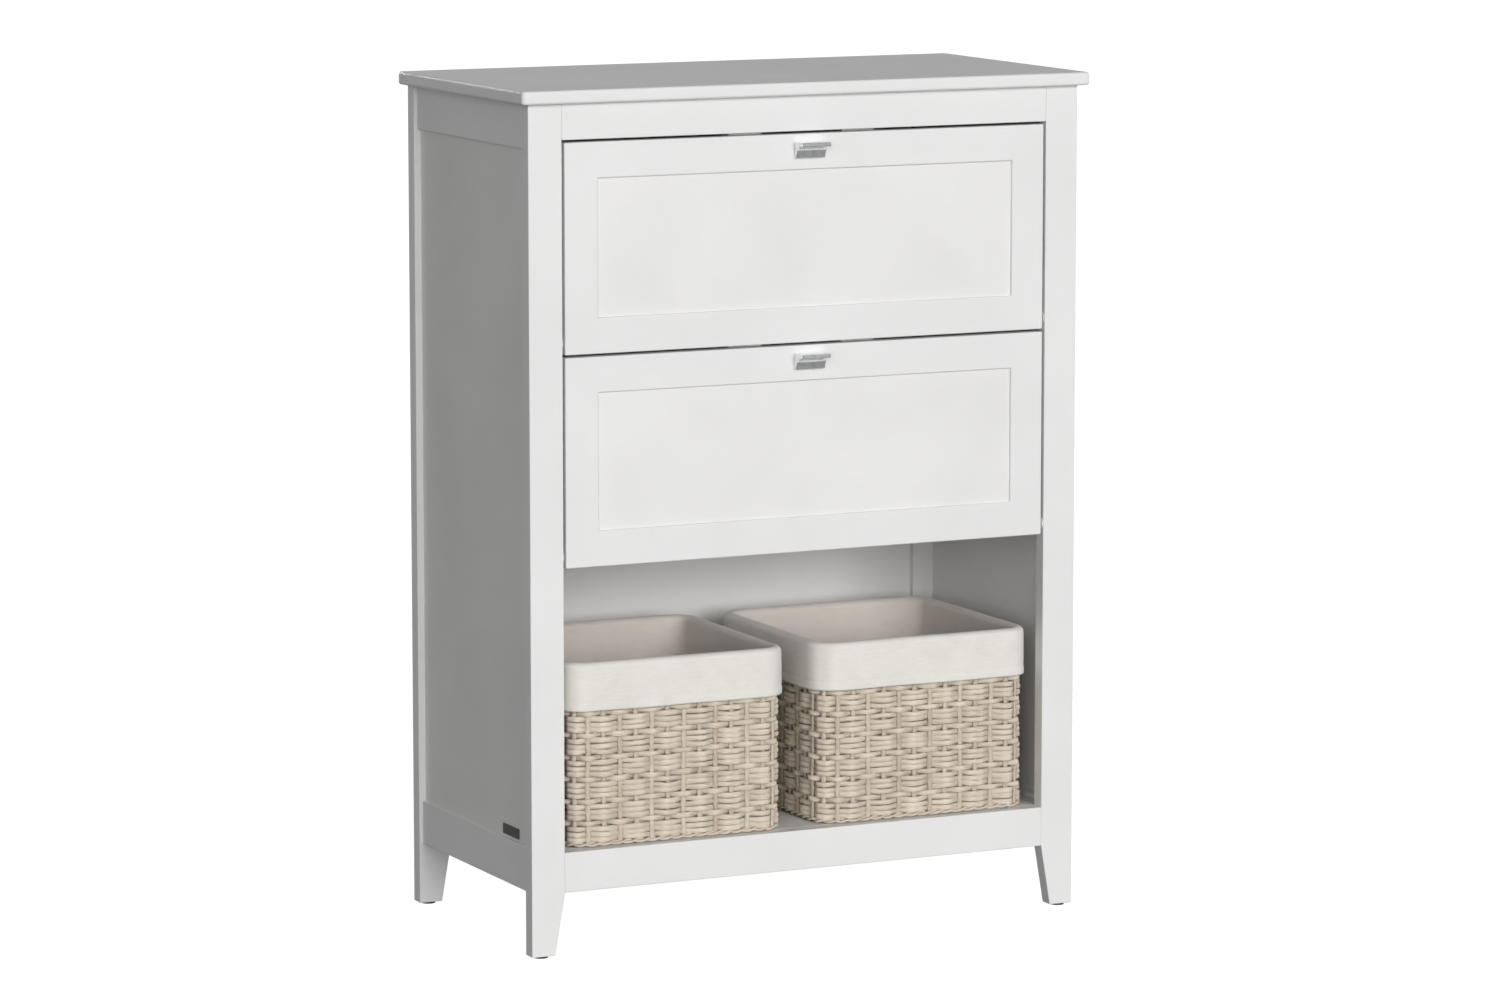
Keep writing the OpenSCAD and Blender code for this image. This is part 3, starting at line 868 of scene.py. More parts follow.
def smooth_knots(knots: Array, per_knot: int) -> Array:
    """Values between knots on closed rows, eased from each knot to the next by a half cosine.

    Args:
        knots: (rows, n) values.
        per_knot: samples from one knot to the next.

    Returns:
        (rows, n * per_knot) values.
    """
    share = (1 - np.cos(np.linspace(0, math.pi, per_knot, endpoint=False))) / 2
    onward = np.roll(knots, -1, 1)
    return (knots[..., None] * (1 - share) + onward[..., None] * share).reshape(len(knots), -1)


# ---------------------------------------------------------------- carcass


@dataclass
class Carcass:
    """The cabinet's top, legs, rails, panels and shelves, and the fixings inside them."""

    palette: Palette
    body: str = "cabinet"
    top_ease: float = 3.2 * MM
    top_corner: float = 5 * MM
    board_ease: float = 1.1 * MM
    leg_taper: float = 12 * MM
    foot_height: float = 72 * MM
    plate_ease: float = 0.3 * MM
    plate_corner: float = 1.6 * MM

    KEPT: ClassVar[dict[str, Slot]] = {
        "left_side_panel": Slot.PANEL, "right_side_panel": Slot.PANEL, "back_panel": Slot.PANEL,
        "back_top_rail": Slot.LACQUER, "bay_floor": Slot.LACQUER, "bay_ceiling": Slot.LACQUER,
        "upper_shelf": Slot.LACQUER, "bay_floor_cleats": Slot.LACQUER, "bay_ceiling_cleats": Slot.LACQUER,
        "upper_shelf_cleats": Slot.LACQUER, "leg_glides": Slot.GLIDE, "dowels": Slot.BEECH,
        "shelf_screws": Slot.ZINC, "hinge_bushes": Slot.NYLON, "stay_guides": Slot.NYLON,
        "upper_catches": Slot.NYLON, "lower_catches": Slot.NYLON, "catch_magnets": Slot.MAGNET,
    }
    RAILS: ClassVar[dict[str, Axis]] = {
        "front_top_rail": Axis.Y, "front_low_rail": Axis.Y, "back_low_rail": Axis.Y,
        "left_top_rail": Axis.X, "right_top_rail": Axis.X, "left_low_rail": Axis.X, "right_low_rail": Axis.X,
    }

    @property
    def fillet(self) -> float:
        """Radius of a board's corners in the flat."""
        return self.board_ease * 1.3

    def board(self, name: str, node: str, axis: Axis, ease: float, fillet: float,
              slot: Slot = Slot.LACQUER) -> bpy.types.Object:
        """A straight board with eased edges in the place of a node.

        Args:
            name: the piece's name.
            node: the node it stands for.
            axis: the axis across the board's thickness.
            ease: radius of its long edges.
            fillet: radius of its corners in the flat.
            slot: the slot that its finish comes from.

        Returns:
            The object.
        """
        corners, low, high = rectangle(box_of(node), axis)
        outline = filleted(corners, np.full(4, fillet))
        surface = Surface(name)
        surface.grids(eased_block(outline, low, high, ease, axis), caps=True)
        return surface.build(self.body, slot, self.palette, (node,))

    def leg(self, node: str, hand: Hand) -> bpy.types.Object:
        """A leg: upright outside, and narrower towards the floor on its inner side.

        Args:
            node: the node it stands for.
            hand: the side it stands on.

        Returns:
            The object.
        """
        low, high = box_of(node)
        inner, outer = (low[0], high[0]) if hand is Hand.RIGHT else (high[0], low[0])
        corners = np.array([
            [inner + hand.value * self.leg_taper, low[2]], [outer, low[2]], [outer, high[2]],
            [inner, high[2]], [inner, self.foot_height],
        ])
        ordered = corners if hand is Hand.RIGHT else corners[::-1]
        outline = filleted(ordered, np.full(5, self.fillet))
        surface = Surface(f"{node}_board")
        surface.grids(eased_block(outline, low[1], high[1], self.board_ease, Axis.Y), caps=True)
        return surface.build(self.body, Slot.LACQUER, self.palette, (node,))

    def build(self) -> None:
        """Makes every part of the carcass."""
        self.board("top_slab", "top_panel", Axis.Z, self.top_ease, self.top_corner)
        for node, axis in self.RAILS.items():
            self.board(f"{node}_board", node, axis, self.board_ease, self.fillet)
        for hand in Hand:
            for depth in ("front", "back"):
                self.leg(f"{depth}_{hand.word}_leg", hand)
        self.board("blank_plate_cover", "blank_plate", Axis.X, self.plate_ease, self.plate_corner, Slot.PLATE)
        dress(self.KEPT, self.palette)


def dress(kept: dict[str, Slot], palette: Palette) -> None:
    """Gives nodes that stay as they are their finishes.

    Args:
        kept: each node's slot.
        palette: the finishes.
    """
    for node, slot in kept.items():
        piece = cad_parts[node]
        piece.data.materials.clear()
        piece.data.materials.append(palette[slot])
        LOG.info("%s keeps its shape: %s", node, slot.value)


# ---------------------------------------------------------------- flaps


@dataclass
class Flap:
    """A drop-front flap: a frame around a recessed panel, with its pull."""

    level: str
    palette: Palette
    frame_width: float = 40 * MM
    outer_ease: float = 1.4 * MM
    inner_ease: float = 1.8 * MM
    back_ease: float = 0.8 * MM
    corner: float = 1.6 * MM
    tightest: float = 0.02 * MM
    lip: float = 5 * MM
    scoop_radius: float = 14 * MM
    scoop_back: float = 1 * MM
    scoop_points: int = 26
    pull_ease: float = 0.9 * MM
    nose: float = 3.2 * MM

    @property
    def body(self) -> str:
        """The body that the flap is."""
        return f"{self.level}_flap"

    def frame_ring(self) -> bpy.types.Object:
        """The frame in one piece, as a routed and painted one is.

        A profile across the frame's width and thickness is carried around the flap: the ring through each
        of its points is the flap's outline drawn in by the point's inset, at the point's depth.
        """
        nodes = tuple(f"{self.body}_{part}" for part in ("left_stile", "right_stile", "top_rail", "low_rail"))
        low, high = box_of(*nodes)
        thick = high[1] - low[1]
        section = np.array([[0, 0], [self.frame_width, 0], [self.frame_width, thick], [0, thick]])
        radii = np.array([self.outer_ease, self.inner_ease, self.back_ease, self.back_ease])
        profile = filleted(section, radii, 4)
        half = ((high[0] - low[0]) / 2, (high[2] - low[2]) / 2)
        inset, depth = profile[:, 0], profile[:, 1]
        radius = np.maximum(self.corner, inset + self.tightest)
        rings = round_rectangle(half, radius, -inset, 4, 1)
        middle = (low + high) / 2
        points = np.stack([
            rings[..., 0] + middle[0], np.broadcast_to((low[1] + depth)[:, None], rings.shape[:2]),
            rings[..., 1] + middle[2],
        ], -1)
        surface = Surface(f"{self.body}_frame")
        surface.grids(points[None], wrap_rows=True)
        return surface.build(self.body, Slot.LACQUER, self.palette, nodes)

    def pull(self) -> bpy.types.Object:
        """The pull: a bright block under a lip, scooped out round from below for the fingers.

        Its side outline goes along the top, down the lip's front, around the scoop's arc and down the
        back; the outline is carried across the pull with both ends eased.
        """
        node = f"{self.level}_pull"
        low, high = box_of(node)
        front, back, top, bottom = low[1], high[1], high[2], low[2]
        centre = np.array([front + self.scoop_back, top - self.lip - self.scoop_radius])
        start = math.acos((front - centre[0]) / self.scoop_radius)
        end = math.asin((bottom - centre[1]) / self.scoop_radius)
        angle = np.linspace(end, start, self.scoop_points)
        arc = centre + self.scoop_radius * np.stack([np.cos(angle), np.sin(angle)], -1)
        outline = np.vstack([arc, [[front, top], [back, top], [back, bottom]]])[::-1]
        radii = np.zeros(len(outline))
        radii[[0, 1]] = self.pull_ease * 0.6
        radii[2] = self.nose
        radii[3] = self.pull_ease
        radii[-1] = self.pull_ease * 0.5
        rounded = filleted(outline, radii, 5)
        area = (rounded[:, 0] * np.roll(rounded[:, 1], -1) - np.roll(rounded[:, 0], -1) * rounded[:, 1]).sum()
        outline = rounded if area > 0 else rounded[::-1]
        surface = Surface(f"{self.level}_pull_grip")
        surface.grids(eased_block(outline, low[0], high[0], self.pull_ease * 0.4, Axis.X, 3), caps=True)
        return surface.build(self.body, Slot.CHROME, self.palette, (node,), 30.0)

    def build(self) -> None:
        """Makes the flap, and dresses its panel and fixings."""
        self.frame_ring()
        self.pull()
        dress({
            f"{self.body}_panel": Slot.PANEL, f"{self.level}_pull_screws": Slot.ZINC,
            f"{self.level}_strikes": Slot.ZINC, f"{self.level}_hinge_pins": Slot.ZINC,
            f"{self.level}_stays": Slot.ZINC,
        }, self.palette)


# ---------------------------------------------------------------- baskets


@dataclass
class Tub:
    """A basket's form: an upright box with round corners and a wall of even thickness."""

    hand: Hand
    corner: float = 28 * MM
    wall: float = 9 * MM
    body: str = field(init=False)
    centre: tuple[float, float] = field(init=False)
    half: tuple[float, float] = field(init=False)
    floor: float = field(init=False)
    rim: float = field(init=False)

    def __post_init__(self) -> None:
        """Reads the basket's place from the structure."""
        self.body = f"{self.hand.word}_basket"
        low, high = box_of(f"{self.body}_weave")
        self.centre = ((low[0] + high[0]) / 2, (low[1] + high[1]) / 2)
        self.half = ((high[0] - low[0]) / 2, (high[1] - low[1]) / 2)
        self.floor, self.rim = low[2], high[2]

    def ring(self, grow: float = 0.0) -> Ring:
        """The level path that stands a distance outside the wall's outer face."""
        return Ring(self.centre, self.half, self.corner, grow)


@dataclass(frozen=True)
class FloorStrands:
    """One of the floor's two sets of flat strands, which lie along an axis.

    The crossings are the strands of the other set, and the sign is 1 for the set that is over in the middle.
    """

    axis: Axis
    number: int
    half_width: float
    crossings: int
    sign: float


@dataclass
class Weave:
    """The seagrass: level weavers around upright stakes, twisted borders and a woven floor.

    A drift is the size of a seeded change, in metres or as a share of what it changes. A foot or a head is
    how far a piece ends, or has its middle, above the basket's floor or below its rim.
    """

    tub: Tub
    palette: Palette
    random: np.random.Generator
    sides: int = 7
    stakes: int = 52
    rows: int = 8
    strands_per_row: int = 4
    per_stake: int = 6
    foot: float = 4.5 * MM
    head: float = 4 * MM
    lead: float = 0.2
    flatness: float = 0.32
    overlap: float = 0.53
    swing: float = 2.9 * MM
    half_thick: float = 1.6 * MM
    stand_drift: float = 0.25 * MM
    level_drift: float = 0.42 * MM
    swing_drift: float = 0.1
    thick_drift: float = 0.1
    height_drift: float = 0.12
    patch_shade: float = 0.42
    painted_recess_shade: float = 0.33
    stake_tone_with_painted_shade: float = 0.5
    stake_foot: float = 2.5 * MM
    stake_head: float = 3 * MM
    stake_radius: float = 1.5 * MM
    stake_width: float = 6 * MM
    stake_drift: float = 0.35 * MM
    stake_knots: int = 8
    per_knot: int = 3
    border_foot: float = 3.1 * MM
    border_head: float = 3.4 * MM
    border_out: float = 1.3 * MM
    ply_turns: int = 34
    ply_samples: int = 8
    ply_radius: float = 1.9 * MM
    ply_half: float = 1.45 * MM
    ply_drift: float = 0.07
    floor_level: float = 3.2 * MM
    floor_rise: float = 0.9 * MM
    floor_half: float = 1.1 * MM
    floor_samples: int = 64
    round_sides: int = 8
    floor_sets: tuple[FloorStrands, ...] = (
        FloorStrands(Axis.X, 21, 5.2 * MM, 13, 1.0), FloorStrands(Axis.Y, 13, 4.2 * MM, 21, -1.0),
    )

    def weavers(self) -> bpy.types.Object:
        """The level strands: in each row, three that go in front of every other stake, and one between them.

        A strand's middle line is the ring in the wall's middle, moved outwards by the swing times a
        flattened cosine whose half period is one stake; the last strand of a row has its sign turned. A
        lead added to the cosine makes the three strands' fronts longer than the fourth's. A section is an
        ellipse. Seeded knots at each stake vary the swing, the height, the thickness and the tone, and
        painted shade darkens each strand where it dips in behind a stake and lightens it where it is in
        front.
        """
        tub = self.tub
        strands = self.rows * self.strands_per_row
        samples = self.stakes * self.per_stake
        step = np.arange(samples) / self.per_stake
        pitch = (tub.rim - tub.floor - self.foot - self.head) / strands
        height = tub.floor + self.foot + (np.arange(strands) + 0.5) * pitch
        last = np.arange(strands) % self.strands_per_row == self.strands_per_row - 1
        turned = np.where(last, -1.0, 1.0)[:, None]
        wave = np.clip(turned * (np.cos(math.pi * step) + self.lead), -1, 1)
        plateau = wave * (1 + self.flatness - self.flatness * wave**2)
        knots = self.random.normal(size=(4, strands, self.stakes))
        grow, lift, fat, tall = (smooth_knots(k, self.per_stake) for k in knots)
        swing = self.swing * plateau * (1 + self.swing_drift * grow)
        away = -tub.wall / 2 + swing + self.stand_drift * grow
        level = height[:, None] + self.level_drift * lift
        thick = self.half_thick * (1 + self.thick_drift * np.tanh(fat))
        half_height = pitch * self.overlap * (1 + self.height_drift * np.tanh(tall))
        point, normal = tub.ring().at(step / self.stakes)
        cosine, sine = circle(self.sides)
        outward = away[..., None] + thick[..., None] * cosine
        upward = level[..., None] + half_height[..., None] * sine
        flat = point[None, :, None] + normal[None, :, None] * outward[..., None]
        # The shade value mixes seeded tone patches with painted shade: darker where the strand dips in behind
        # a stake, lighter in front.
        patches = smooth_knots(self.random.random((strands, self.stakes)), self.per_stake)
        surface = Surface(f"{tub.body}_weavers")
        surface.grids(
            np.concatenate([flat, upward[..., None]], -1), wrap_rows=True,
            lengths=np.arange(samples + 1) / samples * tub.ring().length,
            shade=self.patch_shade * patches + self.painted_recess_shade * (1 + plateau))
        nodes = (f"{tub.body}_weave",)
        return surface.build(tub.body, Slot.SEAGRASS, self.palette, nodes, 180.0, False)

    def stake_set(self) -> bpy.types.Object:
        """The upright strands that the weavers pass in front of and behind.

        Each is a flat tube from the floor to the rim at an even distance along the ring, and wanders a
        little sideways by seeded amounts.
        """
        tub = self.tub
        low, high = tub.floor + self.stake_foot, tub.rim - self.stake_head
        levels = np.linspace(low, high, self.stake_knots * self.per_knot)
        point, normal = tub.ring().at(np.arange(self.stakes) / self.stakes)
        along = np.stack([-normal[:, 1], normal[:, 0]], -1)
        cosine, sine = circle(self.sides)
        knots = self.random.normal(size=(self.stakes, self.stake_knots))
        drift = smooth_knots(knots, self.per_knot) * self.stake_drift
        across = self.stake_radius * cosine[None, None] - tub.wall / 2
        sideways = self.stake_width / 2 * sine[None, None] + drift[..., None]
        flat = (point[:, None, None] + normal[:, None, None] * across[..., None]
                + along[:, None, None] * sideways[..., None])
        upright = np.broadcast_to(levels[None, :, None, None], (*flat.shape[:3], 1))
        surface = Surface(f"{tub.body}_stakes")
        # Each stake gets a seeded tone, scaled down as painted shade because the stakes stand back behind the
        # weavers.
        surface.grids(np.concatenate([flat, upright], -1), lengths=np.append(levels, levels[-1]),
                      shade=self.stake_tone_with_painted_shade * self.random.random(self.stakes), caps=True)
        return surface.build(tub.body, Slot.SEAGRASS, self.palette, (), 60.0, False)

    def borders(self) -> bpy.types.Object:
        """The twisted borders at the floor and under the rim.

        Two plies wind around one ring: each ply's middle goes round the ring at a small radius by an angle
        that is the distance along divided by the twist's length.
        """
        tub = self.tub
        samples = self.stakes * self.ply_samples
        share = np.arange(samples) / samples
        point, normal = tub.ring(-tub.wall / 2 + self.border_out).at(share)
        plies = np.arange(4)
        level = np.where(plies < 2, tub.floor + self.border_foot, tub.rim - self.border_head)
        angle = 2 * math.pi * (self.ply_turns * share[None] + plies[:, None] % 2 / 2)
        cosine, sine = circle(self.round_sides)
        knots = self.random.normal(size=(4, self.stakes))
        thick = self.ply_half * (1 + self.ply_drift * smooth_knots(knots, self.ply_samples))
        outward = (self.ply_radius * 1.1 * np.cos(angle))[..., None] + thick[..., None] * cosine
        upward = (level[:, None] + self.ply_radius * 0.8 * np.sin(angle))[..., None]
        upward = upward + thick[..., None] * sine
        flat = point[None, :, None] + normal[None, :, None] * outward[..., None]
        surface = Surface(f"{tub.body}_borders")
        surface.grids(np.concatenate([flat, upward[..., None]], -1), wrap_rows=True,
                      lengths=np.arange(samples + 1) / samples * tub.ring().length,
                      shade=self.random.random(4) * 0.5 + 0.4)
        return surface.build(tub.body, Slot.SEAGRASS, self.palette, (), 180.0, False)

    def floor_grid(self, strands: FloorStrands) -> Array:
        """One set of the floor's strands.

        A strand's middle line is straight, and rises and falls by a cosine whose half period is the gap to
        the next strand that it crosses. It ends where the rounded outline of the floor cuts it. The two
        sets' sections go opposite ways round, so the faces of both point outwards.

        Args:
            strands: the set.

        Returns:
            A (number, samples, sides, 3) grid.
        """
        tub, number, half_width = self.tub, strands.number, strands.half_width
        along, across = strands.axis.value, 1 - strands.axis.value
        edge = tub.half[across] - tub.wall
        place = np.linspace(-edge + half_width, edge - half_width, number)
        into = np.maximum(np.abs(place) - (tub.half[across] - tub.corner), 0)
        radius = tub.corner - tub.wall
        reach = tub.half[along] - tub.corner + np.sqrt(np.maximum(radius**2 - into**2, 0))
        run = np.linspace(-1, 1, self.floor_samples)[None] * reach[:, None]
        gap = 2 * (tub.half[along] - tub.wall) / strands.crossings
        phase = math.pi * (run / gap + np.arange(number)[:, None] + (strands.sign < 0))
        height = tub.floor + self.floor_level + self.floor_rise * np.cos(phase)
        cosine, sine = circle(self.round_sides)
        shape = (number, self.floor_samples, self.round_sides)
        grid = np.empty((*shape, 3))
        grid[..., along] = np.broadcast_to(run[..., None], shape) + tub.centre[along]
        sideways = strands.sign * half_width * cosine
        grid[..., across] = (place[:, None, None] + sideways) + tub.centre[across]
        grid[..., 2] = height[..., None] + self.floor_half * sine
        return grid

    def woven_floor(self) -> bpy.types.Object:
        """The floor: flat strands across, over and under flat strands from front to back."""
        surface = Surface(f"{self.tub.body}_floor_weave")
        lengths = np.linspace(0, 0.25, self.floor_samples + 1)
        for strands in self.floor_sets:
            surface.grids(self.floor_grid(strands), lengths=lengths,
                          shade=self.random.random(strands.number), caps=True)
        return surface.build(self.tub.body, Slot.SEAGRASS, self.palette, (), 60.0, False)

    def build(self) -> bpy.types.Object:
        """Makes the whole weave, and gives back the weavers, which the liner rests on."""
        weavers = self.weavers()
        self.stake_set()
        self.borders()
        self.woven_floor()
        return weavers


@dataclass
class Liner:
    """The cotton liner: one sheet laid in the basket and turned over its rim, with a stitched hem.

    The waves, ripples, pleats and puckers are sizes of folds. The two last lengths are for its cut: how far
    above the basket's floor its own floor is taken to lie, and what the turn over the rim takes.
    """

    tub: Tub
    palette: Palette
    random: np.random.Generator
    cols: int = 288
    floor_rings: int = 14
    bend_rings: int = 7
    wall_rings: int = 30
    turn_rings: int = 13
    cuff_rings: int = 26
    cloth: float = 1.3 * MM
    gap: float = 1.6 * MM
    ground: float = 7.2 * MM
    bend: float = 12 * MM
    crown_bend: float = 6 * MM
    crown_drop: float = 0.3 * MM
    above_rim: float = 2 * MM
    cuff: float = 55 * MM
    cuff_stand: float = 2.5 * MM
    cuff_wave: float = 0.42 * MM
    cuff_pleat: float = 0.32 * MM
    wall_slack: float = 1.2 * MM
    wall_wave: float = 1.1 * MM
    wall_ripple: float = 0.7 * MM
    pleat_waves: float = 58
    pleat_width: float = 0.022
    pleat_shift: float = 0.12
    floor_pucker: float = 0.5 * MM
    rim_dip: float = 0.35 * MM
    rim_reach: float = 7 * MM
    hem: float = 9 * MM
    hem_step: float = 0.5 * MM
    hem_ripple: float = 0.5 * MM
    seam_depth: float = 0.45 * MM
    seam_width: float = 1.3 * MM
    stitches: int = 232
    thread: float = 0.32 * MM
    cut_ground: float = 7 * MM
    cut_turn: float = 17 * MM
    folds: Array = field(init=False)

    def __post_init__(self) -> None:
        """Draws the phases of the folds."""
        self.folds = self.random.random((2, 9)) * 2 * math.pi

    @property
    def hem_level(self) -> float:
        """The height of the cuff's lower edge."""
        return self.tub.rim + self.above_rim - self.cuff

    def profile(self) -> tuple[Array, Array, Array]:
        """The liner's section from the middle of its floor to the hem outside the cuff.

        Returns:
            For each point, how much of the ring is left (0 at the floor's middle, 1 on the walls), the
            distance outside the weave's outer face, and the height.
        """
        inside = -self.tub.wall - self.gap
        ground = self.tub.floor + self.ground
        crown = self.tub.rim + self.above_rim - self.cloth / 2 - self.crown_drop
        floor_share = np.linspace(0.0, 1.0, self.floor_rings)
        quarter = np.linspace(0, math.pi / 2, self.bend_rings)[1:]
        wall = np.linspace(ground + self.bend, crown - self.crown_bend, self.wall_rings)[1:]
        over = np.linspace(math.pi, 0, self.turn_rings)[1:]
        half_roll = (self.cuff_stand - inside) / 2
        cuff = np.linspace(crown - self.crown_bend, self.hem_level, self.cuff_rings)[1:]
        upright = len(quarter) + len(wall) + len(over) + len(cuff)
        share = np.concatenate([floor_share, np.ones(upright)])
        grow = np.concatenate([
            np.full(len(floor_share), inside - self.bend), inside - self.bend + self.bend * np.sin(quarter),
            np.full(len(wall), inside), inside + half_roll + half_roll * np.cos(over),
            np.full(len(cuff), self.cuff_stand),
        ])
        height = np.concatenate([
            np.full(len(floor_share), ground), ground + self.bend - self.bend * np.cos(quarter), wall,
            crown - self.crown_bend + self.crown_bend * np.sin(over), cuff,
        ])
        return share, grow, height

    def ripples(self, around: Array) -> tuple[Array, Array, Array]:
        """The three kinds of fold around the basket.

        Args:
            around: (cols,) share of the way around.

        Returns:
            The long folds, a sum of sines that are weaker the shorter they are; the short folds, the same
            with more waves; and the pleats, a cosine that dies away from each corner as a bell curve.
        """
        harmonic = np.arange(2, 2 + self.folds.shape[1])[:, None]
        first, second = self.folds[..., None]
        slow = (np.sin(2 * math.pi * harmonic * around[None] + first) / harmonic**0.7).sum(0) / 2.2
        quick = (np.sin(2 * math.pi * (harmonic + 3) * around[None] + second) / harmonic**0.5).sum(0) / 2.6
        corners = (np.arange(4) + self.pleat_shift) / 4
        away = np.abs((around[:, None] - corners + 0.5) % 1.0 - 0.5)
        bell = np.exp(-(away / self.pleat_width) ** 2)
        pleat = (np.cos(away * 2 * math.pi * self.pleat_waves) * bell).sum(1)
        return slow, quick, pleat

    def drape(self, share: Array, grow: Array, height: Array, around: Array) -> Array:
        """Points of the cloth.

        A point is on the ring at its share, stood out by its grow; on the floor the ring shrinks to the
        middle. Soft folds move it: the long and short ones are stronger in the middle of the cuff and low
        on the inner walls, and pleats stand at the four corners. The hem is thicker than the cuff, with a
        groove along its seam.

        Args:
            share: (rows,) how much of the ring is left.
            grow: (rows,) distance outside the weave.
            height: (rows,) height.
            around: (cols,) share of the way around.

        Returns:
            A (rows, cols, 3) grid.
        """
        tub = self.tub
        slow, quick, pleat = self.ripples(around)
        drop = np.clip((tub.rim - height) / self.cuff, 0, 1)
        low = np.clip((tub.rim - height) / (tub.rim - tub.floor), 0, 1)
        hang = np.sin(math.pi * drop * 0.82)[:, None]
        cuff_move = self.cuff_wave * slow[None] * hang + self.cuff_pleat * pleat[None] * hang
        sag = np.sin(math.pi * low[:, None]) ** 0.7
        wall_move = -(self.wall_slack + self.wall_wave * slow[None] + self.wall_ripple * quick[None]) * sag
        over_hem = height - self.hem_level
        hem_out = self.hem_step * (np.abs(over_hem) < self.hem)
        seam_in = -self.seam_depth * np.exp(-(((over_hem - self.hem) / self.seam_width) ** 2))
        outside = (grow > 0)[:, None]
        on_floor = (share < 1)[:, None]
        move = np.where(outside, cuff_move + (hem_out + seam_in)[:, None], wall_move)
        move = np.where(on_floor, 0.0, move)
        point, normal = Ring((0.0, 0.0), tub.half, tub.corner).at(around)
        offset = grow[:, None] + move
        flat = (point[None] + normal[None] * offset[..., None]) * share[:, None, None]
        flat = flat + np.array(tub.centre)
        pucker = self.floor_pucker * (1 + quick[None]) * (np.sin(math.pi * share[:, None]) * on_floor)
        near_rim = np.exp(-(((tub.rim - height) / self.rim_reach) ** 2))[:, None]
        near_hem = outside * np.exp(-((over_hem / self.hem) ** 2))[:, None]
        upright = height[:, None] + pucker - self.rim_dip * (1 + slow[None]) * near_rim
        upright = upright + self.hem_ripple * quick[None] * near_hem
        return np.concatenate([flat, upright[..., None]], -1)

    def sheet(self) -> bpy.types.Object:
        """The liner as one sheet of cloth, then given its thickness.

        The section's points go around the basket in rings, and a fan of triangles closes the floor's
        middle. The map's u is the distance around the basket and its v the distance along the section.
        """
        share, grow, height = self.profile()
        cols = self.cols
        grid = self.drape(share, grow, height, np.arange(cols) / cols)
        run = np.concatenate([[0.0], np.cumsum(np.linalg.norm(np.diff(grid[:, 0], axis=0), axis=1))])
        rows = len(share) - 1
        i, j = np.meshgrid(np.arange(rows - 1), np.arange(cols), indexing="ij")
        onward = (j + 1) % cols
        quads = np.stack([i * cols + j, i * cols + onward, (i + 1) * cols + onward, (i + 1) * cols + j], -1)
        spokes = np.arange(cols)
        fan = np.stack([np.full(cols, rows * cols), (spokes + 1) % cols, spokes], -1)
        girth = self.tub.ring().length
        u = np.stack([j, j + 1, j + 1, j], -1) / cols * girth
        v = run[1:][np.stack([i, i, i + 1, i + 1], -1)]
        fan_u = np.stack([spokes + 0.5, spokes + 1, spokes], -1) / cols * girth
        fan_v = np.stack([np.zeros(cols), np.full(cols, run[1]), np.full(cols, run[1])], -1)
        # How far inside the basket each ring lies; this sets how much painted inside shade the cloth gets.
        within = np.clip((self.cuff_stand / 2 - grow[1:]) / self.tub.wall, 0, 1)
        surface = Surface(
            f"{self.tub.body}_cloth",
            points=[grid[1:].reshape(-1, 3), grid[0].mean(0)[None]],
            faces=[quads.reshape(-1, 4).tolist(), fan.tolist()],
            corners=[np.stack(pair, -1).reshape(-1, 2) for pair in ((u, v), (fan_u, fan_v))],
            shades=[np.append(np.repeat(within, cols), 1.0)])
        nodes = (f"{self.tub.body}_liner",)
        piece = surface.build(self.tub.body, Slot.LINEN, self.palette, nodes, 180.0, False)
        thickness = piece.modifiers.new("cloth_thickness", "SOLIDIFY")
        thickness.thickness = self.cloth
        thickness.offset = 0.0
        return piece

    def hem_stitches(self) -> bpy.types.Object:
        """The hem's stitches: short threads end to end along the cuff, each a small arched tube.

        A stitch runs between two points of the cloth, and stands out by a sine between them.
        """
        thin = np.array([0.55, 1, 1, 1, 0.55])
        number, beads = self.stitches, len(thin)
        share = np.linspace(0.08, 0.78, beads)
        around = ((np.arange(number)[:, None] + share) / number).reshape(-1)
        level = np.array([self.hem_level + self.hem])
        line = self.drape(np.ones(1), np.array([self.cuff_stand]), level, around)[0]
        _, normal = self.tub.ring().at(around)
        normal = np.column_stack([normal, np.zeros(len(normal))]).reshape(number, beads, 1, 3)
        arch = self.cloth / 2 + 0.15 * MM + 0.2 * MM * np.sin(math.pi * np.linspace(0, 1, beads))
        cosine, sine = circle(5)
        middle = line.reshape(number, beads, 1, 3) + normal * arch[None, :, None, None]
        upward = np.array([0.0, 0.0, 1.0])
        points = middle + self.thread * thin[None, :, None, None] * (
            normal * cosine[None, None, :, None] + upward * sine[None, None, :, None])
        surface = Surface(f"{self.tub.body}_hem_stitches")
        surface.grids(points, lengths=np.arange(beads + 1) * MM, caps=True)
        return surface.build(self.tub.body, Slot.LINEN, self.palette, (), 60.0, False)

    def flat_cut(self) -> tuple[float, float, float]:
        """The liner's cross-shaped cut: its width, its length and its area."""
        floor_w, floor_l = (2 * (h - self.tub.wall - self.gap) for h in self.tub.half)
        rise = (self.tub.rim - self.tub.floor - self.cut_ground) + self.cut_turn + self.cuff
        area = floor_w * floor_l + 2 * rise * (floor_w + floor_l)
        return floor_w + 2 * rise, floor_l + 2 * rise, area

    def build(self, weavers: bpy.types.Object) -> None:
        """Makes the liner, and works out what it is cut from.

        Args:
            weavers: the piece that it rests on; not used.
        """
        liner = self.sheet()
        stitches = self.hem_stitches()
        width, length, area = self.flat_cut()


